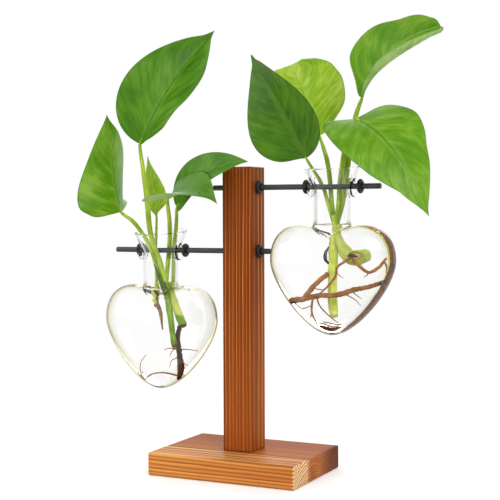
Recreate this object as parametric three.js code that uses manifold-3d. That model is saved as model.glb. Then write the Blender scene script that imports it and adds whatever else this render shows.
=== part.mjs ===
// A hanging hydroponic terrarium: a wooden stand with two black rods, a heart-shaped glass vase
// hung on each rod through holes in its neck, rubber stop rings, water and rooted cuttings.
// Millimetres, +Z up. Origin at the middle of the base's underside, rods along X.
import * as THREE from 'three';
import { mergeVertices } from 'three/addons/utils/BufferGeometryUtils.js';
import Module from 'manifold-3d';

const wasm = await Module();
wasm.setup();

// Stand
const baseLength = 140;
const baseDepth = 100;
const baseHeight = 20;
const postWidth = 28;
const postHeight = 250;
const woodChamfer = 0.8;

// Screws that hold the post from below
const screwSpacing = 16;
const screwLength = 44;
const screwRadius = 2;
const screwHeadRadius = 3.8;
const screwHeadHeight = 2.6;
const screwHeadEdge = 0.4;
const screwRecess = 1;

// Rods; the upper one lies below the post's top, the lower one below the upper
const rodRadius = 2.5;
const rodLength = 158;
const rodChamfer = 0.4;
const upperRodDrop = 18;
const rodSpacing = 56;
const upperStub = 15.7;
const lowerStub = 12.2;

// Rubber rings, round in section
const ringSection = 1.7;

// Running and seating gaps
const seatGap = 0.3;
const boreGap = 0.3;

// Glass heart, measured down from the rod axis
const heartHalfWidth = 56.8;
const heartDepth = 48;
const lobeDrop = 32;
const lobeSpread = 28;
const notchDrop = 38;
const widestDrop = 63;
const heartDrop = 127;
const tipRoundness = 22;
const glassWall = 1.6;
const heartFullness = 2.2;
const middleDrop = 67;

// Glass neck, flared mouth and the two holes for the rod
const neckRadius = 15.6;
const mouthRadius = 23.4;
const mouthHeight = 16;
const neckFootDrop = 51;
const flareStart = -5;
const flareBend = 8;
const mouthTurn = 3;
const rimBead = 1.1;
const holePlay = 2;
const lipRoot = 4;
const lipReach = 19.4;
const lipFlare = 3.4;
const lipFlareLength = 2.4;
const lipEdge = 0.8;

// Distances from the post to the hearts
const rightHeartGap = 1;
const leftHeartGap = 14.2;

// Slack between a vase's lips and the rings beside them
const upperInnerSlack = 2.4;
const upperOuterSlack = 4.5;
const lowerInnerSlack = 4.7;
const lowerOuterSlack = 0;

// Water level below the rod axis, and the water's gap to the glass
const waterDrop = 35;
const waterGap = 0.35;

// Leaf blades and their stalks
const leafThickness = 0.5;
const lobePlace = 0.1;
const stalkTip = 0.6;
const stalkInBlade = 0.05;

const postHalf = postWidth / 2;
const upperRodHeight = baseHeight + postHeight - upperRodDrop;
const lowerRodHeight = upperRodHeight - rodSpacing;
const holeRadius = rodRadius + holePlay;
const holeDrop = holePlay - seatGap;
const ringRadius = rodRadius + boreGap + ringSection;
const ringReach = lipReach + seatGap + ringSection;
const postRingReach = postHalf + seatGap + ringSection;
const rightVaseX = postHalf + lowerStub + rightHeartGap + heartHalfWidth;
const leftVaseX = -(postHalf + leftHeartGap + heartHalfWidth);

const colours = {
  baseWood: { color: 0xa86a38, roughness: 0.6, metalness: 0 },
  postWood: { color: 0x8a4a26, roughness: 0.6, metalness: 0 },
  steel: { color: 0xb9bcc0, roughness: 0.35, metalness: 1 },
  blackRod: { color: 0x2a2a2e, roughness: 0.4, metalness: 0.3 },
  rubber: { color: 0x161618, roughness: 0.55, metalness: 0 },
  glass: { color: 0xf4f8f7, roughness: 0.03, metalness: 0, transparent: true, opacity: 0.3 },
  water: { color: 0xeef4f0, roughness: 0.02, metalness: 0, transparent: true, opacity: 0.25 },
  leaf: { color: 0x4f9a25, roughness: 0.4, metalness: 0, side: THREE.DoubleSide },
  darkLeaf: { color: 0x34821f, roughness: 0.4, metalness: 0, side: THREE.DoubleSide },
  paleLeaf: { color: 0x8fc239, roughness: 0.45, metalness: 0, side: THREE.DoubleSide },
  stem: { color: 0x86b02c, roughness: 0.5, metalness: 0 },
  root: { color: 0x8a5a2b, roughness: 0.75, metalness: 0 },
};

// Solids: a closed geometry to a solid for cutting and joining, and back

function solid(geometry) {
  const bare = geometry.clone();
  bare.deleteAttribute('normal');
  bare.deleteAttribute('uv');
  const merged = mergeVertices(bare, 1e-4);
  return new wasm.Manifold(new wasm.Mesh({
    numProp: 3,
    vertProperties: new Float32Array(merged.attributes.position.array),
    triVerts: new Uint32Array(merged.index.array),
  }));
}

function geometryOf(body) {
  const mesh = body.getMesh();
  const geometry = new THREE.BufferGeometry();
  geometry.setAttribute('position', new THREE.BufferAttribute(new Float32Array(mesh.vertProperties), 3));
  geometry.setIndex(new THREE.BufferAttribute(new Uint32Array(mesh.triVerts), 1));
  geometry.computeVertexNormals();
  return geometry;
}

function joined(bodies) {
  return bodies.reduce((sum, body) => sum.add(body));
}

function without(body, cutters) {
  return cutters.reduce((rest, cutter) => rest.subtract(cutter), body);
}

// Primitive forms

function chamferedBlock(length, depth, height, chamfer) {
  const x = length / 2 - chamfer;
  const y = depth / 2 - chamfer;
  const shape = new THREE.Shape([
    new THREE.Vector2(-x + chamfer, -y), new THREE.Vector2(x - chamfer, -y),
    new THREE.Vector2(x, -y + chamfer), new THREE.Vector2(x, y - chamfer),
    new THREE.Vector2(x - chamfer, y), new THREE.Vector2(-x + chamfer, y),
    new THREE.Vector2(-x, y - chamfer), new THREE.Vector2(-x, -y + chamfer),
  ]);
  const block = new THREE.ExtrudeGeometry(shape, {
    depth: height - 2 * chamfer,
    bevelEnabled: true,
    bevelSize: chamfer,
    bevelThickness: chamfer,
    bevelSegments: 1,
  });
  return block.translate(0, 0, chamfer);
}

// A solid of revolution about Z from [radius, z] pairs that start and end on the axis
function turned(profile, segments) {
  const points = profile.map(([radius, z]) => new THREE.Vector2(radius, z));
  return new THREE.LatheGeometry(points, segments).rotateX(Math.PI / 2);
}

// The same revolved about X, from the profile's [radius, x] pairs
function turnedAlongX(profile, segments) {
  return turned(profile, segments).rotateY(Math.PI / 2);
}

function rodBore(x0, x1, z) {
  const radius = rodRadius + boreGap;
  return turnedAlongX([[0, x0], [radius, x0], [radius, x1], [0, x1]], 18).translate(0, 0, z);
}

// A round tube along a smooth curve through points, its radius blended along radii, with rounded ends
function tube(points, radii, sides, steps, extra = 0) {
  const curve = new THREE.CatmullRomCurve3(points.map((p) => new THREE.Vector3(...p)));
  const frames = curve.computeFrenetFrames(steps, false);
  const positions = [];
  const index = [];
  for (let i = 0; i <= steps; i++) {
    const place = (i / steps) * (radii.length - 1);
    const k = Math.min(Math.floor(place), radii.length - 2);
    const radius = THREE.MathUtils.lerp(radii[k], radii[k + 1], place - k) + extra;
    const centre = curve.getPointAt(i / steps);
    for (let j = 0; j < sides; j++) {
      const angle = (2 * Math.PI * j) / sides;
      const spoke = frames.normals[i].clone().multiplyScalar(Math.cos(angle) * radius)
        .addScaledVector(frames.binormals[i], Math.sin(angle) * radius);
      positions.push(...centre.clone().add(spoke).toArray());
    }
  }
  for (let i = 0; i < steps; i++) {
    for (let j = 0; j < sides; j++) {
      const a = i * sides + j;
      const b = i * sides + ((j + 1) % sides);
      index.push(a, b, b + sides, a, b + sides, a + sides);
    }
  }
  [[0, -1], [steps, 1]].forEach(([i, way]) => {
    const cap = 0.5 * (way < 0 ? radii[0] : radii[radii.length - 1]) + extra;
    const tip = curve.getPointAt(i / steps).addScaledVector(frames.tangents[i], way * cap);
    const apex = positions.length / 3;
    positions.push(...tip.toArray());
    for (let j = 0; j < sides; j++) {
      const a = i * sides + j;
      const b = i * sides + ((j + 1) % sides);
      index.push(...(way < 0 ? [b, a, apex] : [a, b, apex]));
    }
  });
  const geometry = new THREE.BufferGeometry();
  geometry.setAttribute('position', new THREE.Float32BufferAttribute(positions, 3));
  geometry.setIndex(index);
  return geometry;
}

// Stand

function makeBase() {
  const block = solid(chamferedBlock(baseLength, baseDepth, baseHeight, woodChamfer));
  return geometryOf(without(block, screwPlaces().map((x) => screwHole(x))));
}

function makePost() {
  const block = chamferedBlock(postWidth, postWidth, postHeight, woodChamfer).translate(0, 0, baseHeight);
  const bores = [upperRodHeight, lowerRodHeight].map((z) => solid(rodBore(-postWidth, postWidth, z)));
  return geometryOf(without(solid(block), [...bores, ...screwPlaces().map((x) => screwHole(x))]));
}

function screwPlaces() {
  return [-screwSpacing / 2, screwSpacing / 2];
}

// Profile of a countersunk wood screw that points up; extra widens it into its hole
function screwProfile(extra) {
  const headTop = screwRecess + screwHeadHeight;
  const tip = screwRecess + screwLength;
  const start = extra ? -screwRecess : screwRecess;
  return [
    [0, start], [screwHeadRadius + extra, start],
    [screwHeadRadius + extra, screwRecess + screwHeadEdge], [screwRadius + extra, headTop + extra],
    [screwRadius + extra, tip - 2 * screwRadius], [0, tip + extra],
  ];
}

function screwHole(x) {
  return solid(turned(screwProfile(boreGap), 16).translate(x, 0, 0));
}

function makeScrew(x) {
  return turned(screwProfile(0), 16).translate(x, 0, 0);
}

// A rod lies along X with one end stub beyond the post's far face; side is the way its long end points
function makeRod(side, stub, height) {
  const near = -(postHalf + stub);
  const far = near + rodLength;
  const rod = turnedAlongX([
    [0, near], [rodRadius - rodChamfer, near], [rodRadius, near + rodChamfer],
    [rodRadius, far - rodChamfer], [rodRadius - rodChamfer, far], [0, far],
  ], 18);
  if (side < 0) rod.rotateZ(Math.PI);
  return rod.translate(0, 0, height);
}

function makeRing() {
  return new THREE.TorusGeometry(ringRadius, ringSection, 6, 12).rotateY(Math.PI / 2);
}

// Glass vase, in its own frame: origin on the rod axis at the middle of the neck

// One half of the heart's outline, from the notch over the lobe to the tip, as [x, z] points
function heartOutline(count) {
  const path = new THREE.Path();
  const sideSpan = heartHalfWidth - lobeSpread;
  const lobeSpan = widestDrop - lobeDrop;
  const lowerSpan = heartDrop - widestDrop;
  path.moveTo(0, -notchDrop);
  path.bezierCurveTo(0.3 * lobeSpread, -notchDrop, 0.6 * lobeSpread, -lobeDrop, lobeSpread, -lobeDrop);
  path.bezierCurveTo(lobeSpread + 0.6 * sideSpan, -lobeDrop,
    heartHalfWidth, -widestDrop + 0.62 * lobeSpan, heartHalfWidth, -widestDrop);
  path.bezierCurveTo(heartHalfWidth, -widestDrop - 0.33 * lowerSpan,
    tipRoundness, -heartDrop, 0, -heartDrop);
  return path.getSpacedPoints(count).map((p) => [p.x, p.y]);
}

// The closed heart: its outline shrinks to a middle point on each side while it bulges out in Y
function heartBlank(inset) {
  const half = heartOutline(18);
  const outline = [...half, ...half.slice(1, -1).reverse().map(([x, z]) => [-x, z])];
  const rings = 5;
  const middle = -middleDrop;
  const positions = [];
  const count = outline.length;
  for (let k = -rings + 1; k < rings; k++) {
    const angle = (Math.PI / 2) * (k / rings);
    const scale = Math.cos(angle) ** (2 / heartFullness);
    const bulge = Math.sign(angle) * Math.abs(Math.sin(angle)) ** (2 / heartFullness);
    outline.forEach(([x, z]) => {
      positions.push(x * scale, (heartDepth / 2) * bulge, middle + (z - middle) * scale);
    });
  }
  const back = positions.length / 3;
  positions.push(0, heartDepth / 2, middle, 0, -heartDepth / 2, middle);
  const index = [];
  for (let k = 0; k < 2 * rings - 2; k++) {
    for (let j = 0; j < count; j++) {
      const a = k * count + j;
      const b = k * count + ((j + 1) % count);
      index.push(a, b, b + count, a, b + count, a + count);
    }
  }
  const last = (2 * rings - 2) * count;
  for (let j = 0; j < count; j++) {
    const b = (j + 1) % count;
    index.push(last + j, last + b, back, j, back + 1, b);
  }
  const geometry = new THREE.BufferGeometry();
  geometry.setAttribute('position', new THREE.Float32BufferAttribute(positions, 3));
  geometry.setIndex(index);
  geometry.computeVertexNormals();
  const place = geometry.attributes.position;
  const normal = geometry.attributes.normal;
  for (let i = 0; i < place.count; i++) {
    place.setXYZ(i, place.getX(i) - inset * normal.getX(i), place.getY(i) - inset * normal.getY(i),
      place.getZ(i) - inset * normal.getZ(i));
  }
  return geometry;
}

// The neck's wall line: straight, then a flare like a small cup up to the mouth
function neckLine(inset) {
  const flare = new THREE.CubicBezierCurve(
    new THREE.Vector2(neckRadius - inset, flareStart),
    new THREE.Vector2(neckRadius - inset, flareStart + flareBend),
    new THREE.Vector2(mouthRadius - mouthTurn - inset, flareStart + flareBend),
    new THREE.Vector2(mouthRadius - inset, mouthHeight),
  );
  return flare.getPoints(5).map((p) => [p.x, p.y]);
}

function neckBlank(inset, end) {
  const foot = [[0, -neckFootDrop], [neckRadius - inset, -neckFootDrop]];
  return turned([...foot, ...neckLine(inset), ...end], 24);
}

// The fire-polished rim, a little thicker than the wall
function rimEnd() {
  return [
    [mouthRadius + 0.4 * rimBead, mouthHeight],
    [mouthRadius + 0.4 * rimBead, mouthHeight + 0.7 * rimBead],
    [mouthRadius - glassWall / 2, mouthHeight + rimBead],
    [0, mouthHeight + rimBead],
  ];
}

function openEnd() {
  const top = mouthHeight + 2 * rimBead;
  return [[mouthRadius - glassWall, top], [0, top]];
}

// The lip drawn out round a hole for the rod, open right through
function holeLip(side) {
  const outside = [
    [0, neckRadius - lipRoot], [holeRadius + glassWall, neckRadius - lipRoot],
    [holeRadius + glassWall, lipReach - lipFlareLength], [holeRadius + lipFlare, lipReach],
    [0, lipReach],
  ];
  return turnedAlongX(outside, 16).rotateZ(side < 0 ? Math.PI : 0).translate(0, 0, -holeDrop);
}

function holeBore(side) {
  const past = lipReach + lipEdge;
  const inside = [
    [0, 0], [holeRadius, 0], [holeRadius, lipReach - lipFlareLength + lipEdge],
    [holeRadius + lipFlare - lipEdge, past], [0, past],
  ];
  return turnedAlongX(inside, 16).rotateZ(side < 0 ? Math.PI : 0).translate(0, 0, -holeDrop);
}

function makeVase() {
  const outer = joined([
    solid(heartBlank(0)), solid(neckBlank(0, rimEnd())), solid(holeLip(1)), solid(holeLip(-1)),
  ]);
  const cavity = [
    solid(heartBlank(glassWall)), solid(neckBlank(glassWall, openEnd())),
    solid(holeBore(1)), solid(holeBore(-1)),
  ];
  return geometryOf(without(outer, cavity));
}

// Water fills the heart to the level, clear of the glass and of whatever stands in it
function makeWater(things) {
  const inset = glassWall + waterGap;
  const inside = joined([solid(heartBlank(inset)), solid(neckBlank(inset, openEnd()))]);
  const air = new THREE.BoxGeometry(4 * heartHalfWidth, 4 * heartDepth, 2 * heartDrop)
    .translate(0, 0, heartDrop - waterDrop);
  return geometryOf(without(inside, [solid(air), ...things.map((thing) => thing(seatGap))]));
}

// Leaves

// Half width of a blade along its midrib, 0 at both ends and 1 at the widest place
function bladeWidth(t, peak, point) {
  const rise = (point * peak) / (1 - peak);
  return (t ** rise * (1 - t) ** point) / (peak ** rise * (1 - peak) ** point);
}

// Turns the frame (along, across, up) of a midrib by its bend, sweep and twist
function turnFrame(frame, leaf, share) {
  const { along, across, up } = frame;
  const bend = -THREE.MathUtils.degToRad(leaf.droop) * share;
  along.applyAxisAngle(across, bend);
  up.applyAxisAngle(across, bend);
  const sweep = THREE.MathUtils.degToRad(leaf.sweep) * share;
  along.applyAxisAngle(up, sweep);
  across.applyAxisAngle(up, sweep);
  const twist = THREE.MathUtils.degToRad(leaf.twist) * share;
  across.applyAxisAngle(along, twist);
  up.applyAxisAngle(along, twist);
}

function startFrame(leaf) {
  const [heading, rise, roll] = [leaf.heading, leaf.rise, leaf.roll].map(THREE.MathUtils.degToRad);
  const along = new THREE.Vector3(
    Math.cos(rise) * Math.cos(heading), Math.cos(rise) * Math.sin(heading), Math.sin(rise));
  const across = new THREE.Vector3(Math.sin(heading), -Math.cos(heading), 0).applyAxisAngle(along, roll);
  return { along, across, up: new THREE.Vector3().crossVectors(across, along) };
}

// A blade of two folded halves that share the midrib and thin out to a closed edge
function bladeGeometry(leaf) {
  const rows = 8;
  const half = 3;
  const frame = startFrame(leaf);
  const folds = leaf.fold.map(THREE.MathUtils.degToRad);
  const centre = new THREE.Vector3(...leaf.base);
  const positions = [...leaf.base];
  const top = [];
  const under = [];
  const place = (i) => (i / rows) ** 1.4;
  for (let i = 1; i <= rows; i++) {
    const stretch = place(i) - place(i - 1);
    turnFrame(frame, leaf, stretch / 2);
    centre.addScaledVector(frame.along, leaf.length * stretch);
    turnFrame(frame, leaf, stretch / 2);
    if (i === rows) break;
    const t = place(i);
    const width = (bladeWidth(t, leaf.peak, leaf.point) * leaf.width) / 2;
    const lobe = ((leaf.lobe * leaf.width) / 2) * (t / lobePlace) * Math.exp(1 - t / lobePlace);
    top.push([]);
    under.push([]);
    for (let j = -half; j <= half; j++) {
      const s = j / half;
      const reach = width * (1 + leaf.skew * s);
      const fold = folds[j < 0 ? 0 : 1];
      const point = centre.clone()
        .addScaledVector(frame.across, reach * s * Math.cos(fold))
        .addScaledVector(frame.up, reach * Math.abs(s) * Math.sin(fold) + leaf.curl * width * s * s)
        .addScaledVector(frame.along, -lobe * s * s);
      const lift = leafThickness * Math.sqrt(1 - s * s);
      top.at(-1).push(positions.length / 3);
      positions.push(...point.clone().addScaledVector(frame.up, lift).toArray());
      if (Math.abs(j) === half) {
        under.at(-1).push(top.at(-1).at(-1));
      } else {
        under.at(-1).push(positions.length / 3);
        positions.push(...point.clone().addScaledVector(frame.up, -lift).toArray());
      }
    }
  }
  const tip = positions.length / 3;
  positions.push(...centre.toArray());
  const index = [];
  const face = (a, b, c, flip) => index.push(...(flip ? [a, c, b] : [a, b, c]));
  [[top, false], [under, true]].forEach(([sheet, flip]) => {
    for (let j = 0; j < 2 * half; j++) {
      face(0, sheet[0][j + 1], sheet[0][j], flip);
      face(tip, sheet.at(-1)[j], sheet.at(-1)[j + 1], flip);
      for (let i = 0; i + 1 < sheet.length; i++) {
        face(sheet[i][j], sheet[i][j + 1], sheet[i + 1][j + 1], flip);
        face(sheet[i][j], sheet[i + 1][j + 1], sheet[i + 1][j], flip);
      }
    }
  });
  const geometry = new THREE.BufferGeometry();
  geometry.setAttribute('position', new THREE.Float32BufferAttribute(positions, 3));
  geometry.setIndex(index);
  return geometry;
}

function stalk(leaf, extra = 0) {
  const frame = startFrame(leaf);
  const inBlade = new THREE.Vector3(...leaf.base)
    .addScaledVector(frame.along, stalkInBlade * leaf.length);
  const points = [...leaf.stalk, leaf.base, inBlade.toArray()];
  return solid(tube(points, [...leaf.stalkRadii, stalkTip], 5, 10, extra));
}

function makeLeaf(leaf, stems) {
  const whole = joined([solid(bladeGeometry(leaf)), stalk(leaf)]);
  return geometryOf(without(whole, stems.map((stem) => stem(seatGap))));
}

// Cuttings, in the frame of the vase that holds them. Angles in degrees: heading and rise aim the
// midrib, roll turns the blade about it; droop, sweep and twist are turned along the whole midrib.

const leftLeaves = {
  large_upper: {
    base: [-15.2, -9.9, 96.6], heading: 18, rise: 67, roll: 66, length: 129, width: 81,
    droop: 30, sweep: -10, twist: 32, fold: [14, 36], curl: 0.12,
    lobe: 0.07, skew: 0.05, peak: 0.34, point: 1.32,
    stalk: [
      [6.4, -3.4, -29], [2.4, -5.6, -10], [-2.2, -5.9, 1], [-7, -6.6, 17], [-10, -7, 47], [-13, -9, 76],
    ],
    stalkRadii: [2, 2.3, 2.4, 2.4, 2.3, 1.9], colour: 'leaf',
  },
  outer_left: {
    base: [-36.7, -9, 34.7], heading: 229, rise: 77, roll: -46, length: 94, width: 79,
    droop: -27, sweep: 14, twist: -47, fold: [-6, -16], curl: -0.32,
    lobe: 0.01, skew: 0.05, peak: 0.15, point: 1.27,
    stalk: [[1.6, -2.2, -28.5], [-2.6, -4.6, -13], [-6.6, -5.6, 0], [-15.4, -3.6, 12.5], [-26, -5.4, 26]],
    stalkRadii: [1.6, 1.8, 1.9, 1.9, 1.9], colour: 'leaf',
  },
  young_spear: {
    base: [-9.6, 9.4, 31.3], heading: 211, rise: 82, roll: -54, length: 55, width: 24.5,
    droop: 4, sweep: -3, twist: -4, fold: [24, 20], curl: 0.01,
    lobe: -0.04, skew: 0.01, peak: 0.29, point: 1.1,
    stalk: [[-8, 5.8, -31], [-8.8, 6.6, -10], [-9.2, 6.6, 1], [-8.8, 7.4, 17]],
    stalkRadii: [1.4, 1.5, 1.5, 1.4, 1.2], colour: 'paleLeaf',
  },
  back_right: {
    base: [19.1, -2.8, 38.7], heading: -25, rise: 47.5, roll: 75.5, length: 102.5, width: 40,
    droop: 28, sweep: -43, twist: -5.5, fold: [18, 13], curl: 0.04, lobe: 0.06, skew: -0.02,
    peak: 0.31, point: 1.2,
    stalk: [[10.4, 4.7, -29], [10.7, 5.2, -8], [10.8, 5.4, 2], [13.4, 4.6, 16], [16.4, 0.8, 28]],
    stalkRadii: [1.8, 1.8, 1.8, 1.8, 1.8, 1.6], colour: 'leaf',
  },
  front_right: {
    base: [24.8, -29, 46.5], heading: -16, rise: 27, roll: 16, length: 69, width: 56.5,
    droop: 55, sweep: -32, twist: 16, fold: [15, 11], curl: 0.1,
    lobe: 0.44, skew: 0.14, peak: 0.19, point: 1.42,
    stalk: [[4.2, 2.8, -29.5], [4.6, 4.8, -14], [6, 5.3, 0], [9.6, 1, 14], [15.5, -11, 27]],
    stalkRadii: [2, 2.1, 2.1, 2.1, 2, 1.8], colour: 'leaf',
  },
};

const rightLeaves = {
  dark_left: {
    base: [-20.9, -7.1, 24.3], heading: 211.5, rise: 64, roll: -118, length: 104, width: 73.5,
    droop: 18, sweep: 14.5, twist: -26, fold: [8, 22], curl: 0.02,
    lobe: 0, skew: -0.02, peak: 0.33, point: 1.15,
    stalk: [[-3.8, 5, -24], [-6, 5, -12], [-10.9, 4.8, 1], [-18, 1.4, 14.5]],
    stalkRadii: [1.6, 1.7, 1.7, 1.7, 1.5], colour: 'darkLeaf',
  },
  pale_back: {
    base: [-23.5, 29, 45.3], heading: 215, rise: 72, roll: -55, length: 67, width: 80,
    droop: 10, sweep: 4, twist: -33, fold: [28, 4], curl: 0.07,
    lobe: -0.1, skew: 0, peak: 0.51, point: 0.46,
    stalk: [[-3, 9.5, -26], [-4, 8.4, -10], [-4.6, 7.6, 3], [-8, 9, 22]],
    stalkRadii: [2, 2.1, 2.1, 2, 1.8], colour: 'paleLeaf',
  },
  high_right: {
    base: [24, 8.6, 74.6], heading: 17, rise: 70, roll: 86, length: 97, width: 71.5,
    droop: 20, sweep: -57, twist: 33, fold: [-7, 77], curl: 0.04,
    lobe: -0.22, skew: 0.2, peak: 0.38, point: 0.88,
    stalk: [[5.4, 7.7, -28], [8.7, 6.3, -12], [10, 5.6, 2], [12, 7, 20], [14.6, 10, 44], [19, 9, 62]],
    stalkRadii: [2.1, 2.1, 2.2, 2.4, 2.5, 2.4, 2], colour: 'leaf',
  },
  broad_right: {
    base: [21.8, -2, 56.3], heading: -29, rise: -16, roll: 24, length: 118, width: 78,
    droop: 59, sweep: -26, twist: 37, fold: [-1, 16], curl: 0.03,
    lobe: 0.2, skew: 0.07, peak: 0.25, point: 1.24,
    stalk: [[4.3, 2.2, -27], [4.6, 3.8, -14], [5, 5.3, 0], [8.4, 1.6, 15], [13, 1, 38]],
    stalkRadii: [2, 2.1, 2.1, 2.2, 2.2, 1.9], colour: 'leaf',
  },
};

const leftStems = {
  green_cutting: {
    points: [[6.4, -1.4, -30], [10.6, 0, -48], [13, 0, -63], [15.6, 0, -86]], radii: [2.9, 2.8, 2.7, 2.2],
    colour: 'stem',
  },
  pale_cutting: {
    points: [[9.2, 4.6, -29.5], [10.2, 4, -37], [14, 3, -47], [19.5, 2, -58], [24, 2, -68]],
    radii: [2.1, 2.3, 3, 3.3, 3.1],
    colour: 'stem',
  },
  old_stub: {
    points: [[-8, 5.6, -31], [-3.4, 3, -43], [2.4, 2, -53], [4, 2, -72]],
    radii: [2.2, 2.6, 1.6, 0.7],
    colour: 'root',
  },
};

const rightStems = {
  main_cutting: {
    points: [[0, 6, -28], [3.2, 3.4, -48], [2.4, 2, -70], [1.4, 2, -93], [2.2, 2, -108]],
    radii: [3.4, 3.8, 3.9, 3.7, 3.3], colour: 'stem',
  },
  side_shoot: {
    points: [[5, 3, -42], [11, 1, -53], [19, 0, -60.5], [32, 0, -58.5]], radii: [3, 3.8, 5.4, 6.1, 5.5],
    colour: 'paleLeaf',
  },
};

const leftRoots = [
  {
    points: [[19, 3, -68.5], [15.6, 3, -80], [17, 3, -96], [18, 3, -107], [15, 2, -115]],
    radii: [2.2, 1.9, 2.2, 2.6, 1],
  },
];

const rightRoots = [
  {
    points: [
      [-34, -3, -96.5], [-22, -5, -95], [-8, -7, -92], [8, -8, -91], [24, -8, -86], [35, -5, -83.5],
      [46, -2, -79],
    ],
    radii: [2.9, 2.5, 2.1, 2.1, 2.1, 1.8, 1.3],
  },
  { points: [[-1, -1.5, -74], [-9, -4.4, -81], [-20, -5, -93]], radii: [1.9, 2.1, 2.3] },
];

function stemCutter(stem, sides, steps) {
  return (extra) => solid(tube(stem.points, stem.radii, sides, steps, extra));
}

// Each stem is cut clear of those before it, and roots are cut clear of every stem
function makeStems(stems) {
  const done = [];
  return Object.entries(stems).map(([name, stem]) => {
    const cutter = stemCutter(stem, 8, 8);
    const body = without(cutter(0), done.map((before) => before(seatGap)));
    done.push(cutter);
    return { name, body, cutter, colour: stem.colour };
  });
}

function makeRoots(roots, stems) {
  const cutters = roots.map((root) => stemCutter(root, 6, 10));
  const whole = joined(cutters.map((cutter) => cutter(0)));
  return { body: without(whole, stems.map((stem) => stem.cutter(seatGap))), cutters };
}

// Assembly

const terrarium = new THREE.Group();

function add(name, geometry, look, x = 0, z = 0) {
  const mesh = new THREE.Mesh(geometry, new THREE.MeshStandardMaterial(colours[look]));
  mesh.name = name;
  mesh.position.set(x, 0, z);
  terrarium.add(mesh);
}

add('base_block', makeBase(), 'baseWood');
add('post', makePost(), 'postWood');
screwPlaces().forEach((x) => add(x < 0 ? 'base_screw_left' : 'base_screw_right', makeScrew(x), 'steel'));

add('upper_rod', makeRod(1, upperStub, upperRodHeight), 'blackRod');
add('lower_rod', makeRod(-1, lowerStub, lowerRodHeight), 'blackRod');

const levels = [
  {
    name: 'upper', height: upperRodHeight, vaseX: rightVaseX,
    inner: ringReach + upperInnerSlack, outer: ringReach + upperOuterSlack,
  },
  {
    name: 'lower', height: lowerRodHeight, vaseX: leftVaseX,
    inner: ringReach + lowerInnerSlack, outer: ringReach + lowerOuterSlack,
  },
];
levels.forEach(({ name, height, vaseX, inner, outer }) => {
  const way = Math.sign(vaseX);
  add(`${name}_post_ring_long_side`, makeRing(), 'rubber', way * postRingReach, height);
  add(`${name}_post_ring_stub_side`, makeRing(), 'rubber', -way * postRingReach, height);
  add(`${name}_vase_ring_inner`, makeRing(), 'rubber', vaseX - way * inner, height);
  add(`${name}_vase_ring_outer`, makeRing(), 'rubber', vaseX + way * outer, height);
});

function addPlantedVase(side, x, z, stemTable, rootTable, leafTable) {
  const stems = makeStems(stemTable);
  const roots = makeRoots(rootTable, stems);
  const standing = [...stems.map((stem) => stem.cutter), ...roots.cutters];
  const stalks = Object.values(leafTable).map((leaf) => (extra) => stalk(leaf, extra));
  add(`${side}_vase`, makeVase(), 'glass', x, z);
  add(`${side}_water`, makeWater([...standing, ...stalks]), 'water', x, z);
  stems.forEach(({ name, body, colour }) => add(`${side}_${name}`, geometryOf(body), colour, x, z));
  add(`${side}_roots`, geometryOf(roots.body), 'root', x, z);
  const stemCutters = stems.map((stem) => stem.cutter);
  Object.entries(leafTable).forEach(([name, leaf]) => {
    add(`${side}_leaf_${name}`, makeLeaf(leaf, stemCutters), leaf.colour, x, z);
  });
}

addPlantedVase('right', rightVaseX, upperRodHeight, rightStems, rightRoots, rightLeaves);
addPlantedVase('left', leftVaseX, lowerRodHeight, leftStems, leftRoots, leftLeaves);

export default terrarium;
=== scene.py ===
"""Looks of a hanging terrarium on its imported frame: a scorched pine stand, satin black rods with
rubber rings, blown glass hearts that hold water, and rooted leafy cuttings."""
import math

import bmesh
import bpy
import numpy as np
from mathutils import Matrix, Vector, noise


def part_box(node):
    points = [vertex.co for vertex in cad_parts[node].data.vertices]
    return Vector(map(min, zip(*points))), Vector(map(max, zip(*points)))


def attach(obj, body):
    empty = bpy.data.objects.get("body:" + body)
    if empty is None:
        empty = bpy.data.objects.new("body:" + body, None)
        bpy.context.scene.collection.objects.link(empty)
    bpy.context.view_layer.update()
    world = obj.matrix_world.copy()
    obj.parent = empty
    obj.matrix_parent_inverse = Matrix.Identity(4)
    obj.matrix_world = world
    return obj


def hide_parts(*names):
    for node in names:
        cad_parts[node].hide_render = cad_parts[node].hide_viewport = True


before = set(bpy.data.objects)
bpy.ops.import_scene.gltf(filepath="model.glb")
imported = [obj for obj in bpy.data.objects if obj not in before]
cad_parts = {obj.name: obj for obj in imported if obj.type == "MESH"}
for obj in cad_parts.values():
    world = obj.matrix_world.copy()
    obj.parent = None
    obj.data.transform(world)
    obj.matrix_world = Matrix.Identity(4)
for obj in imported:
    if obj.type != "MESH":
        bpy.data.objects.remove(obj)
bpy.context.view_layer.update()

MM = 0.001

# Photograph: where its camera stands, which way it looks and how long its lens is

PHOTO_PIXELS = 500
LENS_PIXELS = 1184.8
SENSOR_MM = 36
CAMERA_PLACE = (0.4650, -0.9383, 0.2326)
CAMERA_YAW = 26.06
CAMERA_PITCH = 1.956
CAMERA_ROLL = -0.206

# Glass heart, in millimetres below the rod axis. The leans are shares of the way to the next place,
# for the curves of its outline

HEART_HALF_WIDTH = 56.8
HEART_DEPTH = 48
LOBE_DROP = 32
LOBE_SPREAD = 28
LOBE_LEANS = (0.6, 0.62)
NOTCH_DROP = 38
NOTCH_LEANS = (0.3, 0.6)
WIDEST_DROP = 63
WIDEST_LEAN = 0.33
HEART_DROP = 127
TIP_ROUNDNESS = 22
HEART_FULLNESS = 2.2
MIDDLE_DROP = 67
OUTLINE_STEPS = 200
SHOULDER_DROP = 29
CREASE_SPREAD = 17
CREASE_DROP = (33, 46)
CREASE_DEPTH = 0.9
CREASE_WIDTH = 1.1
CREASE_FADE = 3

# Glass neck and the lips round the rod holes

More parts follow.
